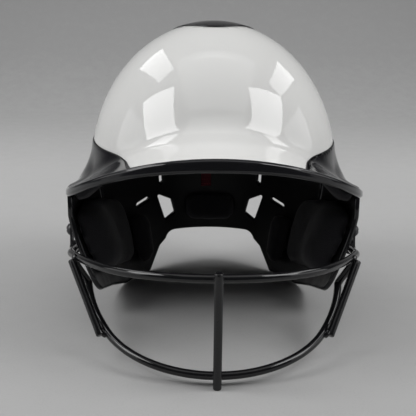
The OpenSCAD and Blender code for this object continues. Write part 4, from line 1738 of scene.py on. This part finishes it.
@dataclass(frozen=True)
class Cushions:
    """Fabric pads on the shell's inner skin, swelled as cloth inside their pressed borders."""

    skin: Skin = field(default_factory=Skin)
    inner: float = 4.8
    border: float = 3.0
    border_share: float = 0.06
    crown_power: float = 0.45
    steps: int = 30
    voxel: float = 0.0042
    held_over: float = 0.9
    swell: float = 0.0035
    swell_share: float = 0.2
    pressure: float = 4.0
    frames: int = 20
    crown_reach: float = 34.0
    crown_thick: float = 12.0
    crown_rings: int = 16
    crown_sides: int = 64

    def faces_of(self, h: Array, z: Array, tall: Array) -> tuple[Array, Array]:
        """Points of a pad's back and of its front, which stands off by a height."""
        return self.skin.point(h, z, self.inner), self.skin.point(h, z, self.inner + tall)

    def crowned(self, e: Array) -> Array:
        """Height share of a cushion: a power of e, held at 0 in the pressed border."""
        share = (np.clip(e, 0, 1) - self.border_share) / (1 - self.border_share)
        return np.clip(share, 0, 1) ** self.crown_power

    def base(self, pad: PadShape) -> Solid:
        """One pad before it swells: back, front and a wall round them.

        A grid point (u, v) from -1 to 1 lies at heading at + half * u * (1 - draw * v^2) and height
        z - fall * u + half * v * (1 - draw * u^2), so the sides draw in between the corners. The
        thickness runs evenly from the front's to the rear's and swells from the pressed border by
        a power of (1 - u^4)(1 - v^4).

        Args:
            pad: its place and size.

        Returns:
            Points and quads.
        """
        n = self.steps
        v, u = np.meshgrid(np.linspace(-1, 1, n), np.linspace(-1, 1, n), indexing="ij")
        h = pad.at + pad.half_at * u * (1 - pad.draw * v * v)
        lift = -pad.fall * u
        if pad.follows:
            lift = self.skin.edge_z(h) - self.skin.edge_z(np.array(pad.at))
        z = pad.z + lift + pad.half_z * v * (1 - pad.draw * u * u)
        full = mix(pad.thick, pad.rear_thick, (u + 1) / 2)
        tall = mix(self.border, full, self.crowned((1 - u ** 4) * (1 - v ** 4)))
        quad = grid_faces(n, n, False)
        i = np.arange(n - 1)
        edge = np.concatenate([i, i * n + n - 1, (n - 1) * n + n - 1 - i, (n - 1 - i) * n])
        after = np.roll(edge, -1)
        wall = np.stack([edge, after, after + n * n, edge + n * n], 1)
        faces = np.concatenate([quad[:, ::-1], quad + n * n, wall])
        return (np.concatenate(self.faces_of(h, z, tall)).reshape(-1, 3),
                faces if pad.half_at > 0 else faces[:, ::-1])

    def crown_base(self) -> Solid:
        """The round crown pad as rings, from the top of its back to the middle of its front.

        Returns:
            Points and quads.
        """
        a = self.crown_reach * np.linspace(0.01, 1, self.crown_rings)
        h = (360 * np.arange(self.crown_sides) / self.crown_sides)[None, :] + 0 * a[:, None]
        z = (self.skin.widest_z + self.skin.dome_rise * cosd(a))[:, None] + 0 * h
        share = self.crowned(1 - (a / self.crown_reach) ** 4)
        back, front = self.faces_of(h, z, mix(self.border, self.crown_thick, share)[:, None])
        return (np.concatenate([back, front[::-1]]).reshape(-1, 3),
                stack_faces(2 * self.crown_rings, self.crown_sides)[:, ::-1])

    def depth_of(self, points: Array) -> Array:
        """Depth of points under the skin, square to their own meridians.

        Args:
            points: places, one row each.

        Returns:
            Depths.
        """
        h = np.degrees(np.arctan2(points[:, 0], -points[:, 1]))
        z = np.minimum(points[:, 2], self.skin.top_z - 0.5)
        out = self.skin.radius(h, z) - np.hypot(points[:, 0], points[:, 1])
        return out / np.hypot(1.0, self.skin.slope(h, z))

    def swelled(self, piece: Piece, thick: float) -> None:
        """Runs the pad as pressed cloth whose back and border are held, within a small reach.

        Args:
            piece: the pad, which is remeshed and changed in place.
            thick: the thickness of its cushion in millimetres.
        """
        bpy.ops.object.select_all(action="DESELECT")
        piece.select_set(True)
        bpy.context.view_layer.objects.active = piece
        remesh = piece.modifiers.new("even", "REMESH")
        remesh.mode, remesh.voxel_size = "VOXEL", self.voxel
        bpy.ops.object.modifier_apply(modifier=remesh.name)
        start = vertices_of(piece)
        deep = self.depth_of(start / MM - TO_ROW)
        held = np.nonzero(deep < self.inner + self.border + self.held_over)[0]
        group = piece.vertex_groups.new(name="held")
        group.add(held.tolist(), 1.0, "REPLACE")
        cloth = piece.modifiers.new("swell", "CLOTH")
        cloth.settings.use_pressure = True
        cloth.settings.uniform_pressure_force = self.pressure
        cloth.settings.effector_weights.gravity = 0.0
        cloth.settings.vertex_group_mass = group.name
        cloth.settings.quality = 5
        cloth.point_cache.frame_start, cloth.point_cache.frame_end = 1, self.frames
        for number in range(1, self.frames + 1):
            bpy.context.scene.frame_set(number)
        bpy.ops.object.modifier_apply(modifier=cloth.name)
        bpy.context.scene.frame_set(1)
        moved = vertices_of(piece) - start
        reach = np.linalg.norm(moved, axis=1, keepdims=True)
        cap = min(self.swell, thick * MM * self.swell_share)
        put_vertices(piece, start + moved * np.minimum(1.0, cap / np.maximum(reach, 1e-9)))

    def build(self, fabric: Material) -> None:
        """Args:
            fabric: their finish.
        """
        todo = [(spot.value.node, self.base(spot.value), spot.value.thick) for spot in PadSpot]
        todo.append(("crown_pad", self.crown_base(), self.crown_thick))
        for name, (points, faces), thick in todo:
            pad = mesh_piece(name.replace("_pad", "_cushion"), points, faces, [fabric], sharp=80)
            self.swelled(pad, thick)
            smooth = pad.modifiers.new("smooth", "SUBSURF")
            smooth.levels = smooth.render_levels = 1
            settle(pad, "pad_fabric", name)


def vertices_of(piece: Piece) -> Array:
    """A piece's vertices.

    Args:
        piece: the piece.

    Returns:
        Places in metres, one row each.
    """
    flat = np.zeros(len(piece.data.vertices) * 3, np.float32)
    piece.data.vertices.foreach_get("co", flat)
    return flat.reshape(-1, 3).astype(float)


def put_vertices(piece: Piece, points: Array) -> None:
    """Writes a piece's vertices and shades it smooth.

    Args:
        piece: the piece.
        points: places in metres, one row each.
    """
    piece.data.vertices.foreach_set("co", points.astype(np.float32).ravel())
    piece.data.polygons.foreach_set("use_smooth", np.ones(len(piece.data.polygons), bool))
    piece.data.update()


@dataclass(frozen=True)
class PullTab:
    """A plain woven tab, folded back on itself at its lower end and sewn across."""

    skin: Skin = field(default_factory=Skin)
    x: float = -3.5
    width: float = 9.5
    thick: float = 1.2
    low_z: float = 69.0
    high_z: float = 92.0
    inner: float = 4.5
    rows: int = 40
    sides: int = 24
    end_share: float = 0.05
    fold_share: float = 0.34
    single: float = 0.62
    stitch_rows: tuple[float, ...] = (2.2, 6.4)
    stitch_in: float = 1.3
    stitch_size: Vec = (0.8, 0.28, 0.24)

    def heading(self, x: Array, z: Array, depth: float) -> Array:
        """Heading behind the head at which a place at a depth has a given x."""
        r = self.skin.radius(np.array(180.0), z) - depth
        return 180 - np.degrees(np.arcsin(x / r))

    def strip(self) -> tuple[Array, Array, Array]:
        """Cross-sections carried up the inner skin.

        Each section is a flat oval, half width * cos^0.35 and half thickness * sin^0.6 of an angle
        with their signs kept. It is thickest where the tape is doubled at the lower end.

        Returns:
            Points, quads and UV places in millimetres.
        """
        z = np.linspace(self.low_z, self.high_z, self.rows)[:, None]
        w = spin(self.sides)
        c, s = np.cos(w), np.sin(w)
        along = (z - self.low_z) / (self.high_z - self.low_z)
        round_in = 1 - (1 - np.clip(along / self.end_share, 0, 1)) ** 2
        end = np.sqrt(np.clip(round_in, 0.02, 1))
        x = self.x + self.width / 2 * np.sign(c) * np.abs(c) ** 0.35 * (1 + 0 * z)
        doubled = ease((self.fold_share - along) / self.end_share)
        t = self.thick / 2 * np.sign(s) * np.abs(s) ** 0.6 * mix(self.single, 1.0, doubled) * end
        points = self.skin.point(self.heading(x, z, self.inner), z + 0 * x,
                                 self.inner + self.thick / 2 + t)
        uv = np.stack([x, z - self.low_z + 0 * x], -1)
        return (points.reshape(-1, 3), stack_faces(self.rows, self.sides)[:, ::-1],
                uv.reshape(-1, 2))

    def build(self, tape: Material, thread: Material) -> None:
        """Makes the tape and its two rows of stitches.

        Args:
            tape: finish of the tape.
            thread: finish of the stitches.
        """
        points, faces, uv = self.strip()
        tab = mesh_piece("pull_tape", points, faces, [tape], sharp=60)
        loops = np.zeros(len(tab.data.loops), np.int32)
        tab.data.loops.foreach_get("vertex_index", loops)
        layer = tab.data.uv_layers.new(name="tape")
        layer.data.foreach_set("uv", uv[loops].astype(np.float32).ravel())
        settle(tab, "tab_maroon", "pull_tab")
        half = self.width / 2 - self.stitch_in
        deep = self.inner + self.thick
        stitches = []
        for z in self.low_z + np.array(self.stitch_rows):
            for x in np.linspace(self.x - half, self.x + half, 4):
                spot = self.skin.point(self.heading(x, z, deep), z, deep - 0.02)
                stitches.append(blob(spot, np.eye(3), self.stitch_size, 8, 12))
        settle(mesh_piece("tape_stitches", *gather(stitches), [thread], sharp=80), "tab_maroon")


# Studio


@dataclass(frozen=True)
class Camera:
    """The photograph's camera, fitted to the helmet's outline."""

    target_z: float = 77.4
    distance: float = 757.0
    pitch: float = 15.0
    yaw: float = 1.5
    roll: float = -0.7
    lens_px: float = 925.0
    image_px: float = 416.0
    centre_px: float = 212.5

    def build(self) -> None:
        """Makes the camera and puts it where the photograph was taken from."""
        turns = np.array([self.pitch, self.yaw, self.roll])
        (cp, cy, cr), (sp, sy, sr) = cosd(turns).tolist(), sind(turns).tolist()
        right = Vector((cy, -sy, 0))
        ahead = Vector((sy * cp, cy * cp, -sp))
        up = right.cross(ahead)
        place = Vector(TO_ROW) + Vector((0, 0, self.target_z)) - self.distance * ahead
        x, y = cr * right - sr * up, sr * right + cr * up
        data = bpy.data.cameras.new("camera")
        data.lens = self.lens_px / self.image_px * data.sensor_width
        data.shift_x = -(self.centre_px - self.image_px / 2) / self.image_px
        data.clip_start, data.clip_end = 0.01, 50
        camera = bpy.data.objects.new("camera", data)
        camera.matrix_world = placed((x, y, -ahead), place * MM)
        bpy.context.scene.collection.objects.link(camera)
        bpy.context.scene.camera = camera


def placed(axes: Sequence[Vector], place: Vector) -> Matrix:
    """Matrix of an object from its three axes and its place."""
    return Matrix.Translation(place) @ Matrix(axes).transposed().to_4x4()


@dataclass(frozen=True)
class SoftPanel:
    """A rectangular lamp that faces the dome and shows in the gloss."""

    name: str
    way: Vec
    along: Vec
    size: tuple[float, float]
    glow: float
    distance: float = 1.0
    aim: Vec = (0.0, -0.03, 0.17)
    spread: float = 180.0

    def build(self) -> None:
        """Makes the lamp out along its way from the aim, its first side along a direction."""
        data = bpy.data.lights.new(self.name, "AREA")
        data.shape = "RECTANGLE"
        data.size, data.size_y = self.size
        data.energy = math.pi * self.glow * self.size[0] * self.size[1]
        data.spread = math.radians(self.spread)
        lamp = bpy.data.objects.new(self.name, data)
        back = Vector(self.way).normalized()
        side = Vector(self.along)
        side = (side - side.dot(back) * back).normalized()
        lamp.matrix_world = placed((side, back.cross(side), back),
                                   Vector(self.aim) + self.distance * back)
        bpy.context.scene.collection.objects.link(lamp)


@dataclass(frozen=True)
class Studio:
    """Grey paper under and behind the helmet, its colour painted darker further back as painted
    shade, and soft panels.

    Lengths are in metres. The paper lies flat to `bend_y`, turns up with a radius and stands.
    """

    paper: Vec = (0.49, 0.49, 0.488)
    # Painted shade: the darker colour that the paper is given far back, and the span in metres over
    # which it turns to it.
    paper_painted_shade: Vec = (0.295, 0.295, 0.295)
    painted_shade_span: tuple[float, float] = (0.5, 1.2)
    mottle: float = 0.05
    grain: float = 0.11
    world: Vec = (0.05, 0.05, 0.052)
    front_y: float = -0.38
    bend_y: float = 0.9
    bend_r: float = 0.5
    stands: tuple[float, float, int] = (0.6, 2.6, 6)
    half_w: float = 3.0
    lamps: tuple[SoftPanel, ...] = (
        SoftPanel("left_front", (-0.80, -0.18, 0.58), (0.58, -0.47, 0.66), (0.52, 0.52), 5.5),
        SoftPanel("right_front", (0.745, -0.22, 0.63), (0.6, 0.55, -0.58), (0.55, 0.52), 5.2),
        SoftPanel("left_back", (-0.56, 0.45, 0.65), (-0.09, -0.51, 0.28), (0.6, 0.24), 2.9),
        SoftPanel("right_back", (0.70, 0.38, 0.58), (0.1, -0.5, 0.16), (0.54, 0.2), 2.9),
        SoftPanel("ceiling", (0.02, -0.12, 1.0), (0.0, 1.0, 0.12), (1.5, 1.6), 0.68, 1.4),
        SoftPanel("left_wall", (-1.0, -0.05, 0.18), (0.0, 1.0, 0.0), (1.0, 0.5), 1.0, 1.15),
        SoftPanel("right_wall", (1.0, -0.05, 0.18), (0.0, 1.0, 0.0), (1.0, 0.5), 1.05, 1.15),
        SoftPanel("backdrop_wash", (0.0, -0.27, 1.0), (1.0, 0.0, 0.0), (2.4, 0.9), 0.68, 1.6,
                  (0.0, 1.12, 0.0), 70.0),
    )

    def sweep(self) -> Solid:
        """The paper: a profile of a flat, a quarter circle and a wall, carried along X.

        Returns:
            Points in metres and quads.
        """
        turn = np.linspace(0, np.pi / 2, 16)[1:]
        flat = np.linspace(self.front_y, self.bend_y, 12)
        wall = np.linspace(*self.stands)
        y = np.concatenate([flat, self.bend_y + self.bend_r * np.sin(turn),
                            np.full(len(wall), self.bend_y + self.bend_r)])[:, None]
        z = np.concatenate([0 * flat, self.bend_r * (1 - np.cos(turn)), wall])[:, None]
        x = np.array([-self.half_w, self.half_w])
        points = np.stack([x + 0 * y, y + 0 * x, z + 0 * x], -1).reshape(-1, 3)
        return points, grid_faces(len(y), 2, False)

    def build(self) -> None:
        """Makes the paper, the world and the lamps."""
        n = Nodes("paper", Roughness=0.95, Specular_IOR_Level=0.1)
        apart = n.add("SeparateXYZ")
        n.link(n.coords.outputs["Object"], apart, "Vector")
        # Painted shade: the paper's colour turns darker between 0.5 m and 1.2 m back, in place of
        # light falling off towards the backdrop.
        behind = n.range(apart.outputs["Y"], *self.painted_shade_span)
        mottled = n.cloud(60, 5, -self.mottle, self.mottle)
        grain = n.cloud(650, 3, -self.grain, self.grain)
        n.blend(n.math("ADD", n.math("ADD", behind, mottled), grain), self.paper, self.paper_painted_shade)
        points, faces = self.sweep()
        sweep = mesh_piece("paper", points / MM - TO_ROW, faces, [n.material])
        world = bpy.data.worlds.new("studio")
        world.use_nodes = True
        fill(world.node_tree.nodes["Background"], Color=(*self.world, 1))
        bpy.context.scene.world = world
        for lamp in self.lamps:
            lamp.build()
        bpy.context.scene.view_settings.view_transform = "Standard"


def dress(node: str, finish: Material) -> None:
    """Gives a solid that stays in view its finish.

    Args:
        node: the solid's name.
        finish: its material.
    """
    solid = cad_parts[node]
    solid.data.materials.clear()
    solid.data.materials.append(finish)
    log.info("%s: the solid itself, in %s", node, finish.name)


def main() -> None:
    """Builds the camera, the studio and every sub-assembly in order."""
    logging.basicConfig(level=logging.INFO, format="%(name)s %(message)s")
    Camera().build()
    Studio().build()
    black = GlossPlastic("shell_gloss", (0.011, 0.011, 0.013), (0.05, 0.05, 0.055), 0.09, 0.5)
    white = GlossPlastic("panel_gloss", (0.8, 0.8, 0.785), (0.5, 0.5, 0.5), 0.04, 0.35)
    inside = PlainSurface.satin_plastic("shell_inside", (0.009, 0.009, 0.01))
    coating = PlainSurface.coated_wire("wire_coating", (0.008, 0.008, 0.009))
    clip_paint = PlainSurface.painted_steel("clip_paint", (0.02, 0.02, 0.022), 0.4)
    bolt_paint = PlainSurface.painted_steel("bolt_paint", (0.03, 0.03, 0.033), 0.3)
    steel = PlainSurface.painted_steel("nut_steel", (0.5, 0.5, 0.51), 0.35, 1.0)
    fabric = BrushedFabric("pad_fabric", (0.015, 0.0145, 0.0175), (0.044, 0.043, 0.048))
    tape = Webbing("tab_tape", (0.31, 0.036, 0.06), (0.095, 0.011, 0.02))
    thread = Stitching("tab_thread", (0.36, 0.05, 0.08))
    Shell().build(black.build(), inside.build())
    Panel().build(white.build())
    Guard().build(coating.build())
    Bolts().build(bolt_paint.build())
    Cushions().build(fabric.build())
    PullTab().build(tape.build(), thread.build())
    clip_finish = clip_paint.build()
    for node in ("left_guard_clip", "right_guard_clip"):
        dress(node, clip_finish)
    dress("clip_nuts", steel.build())


if __name__ == "__main__":
    main()
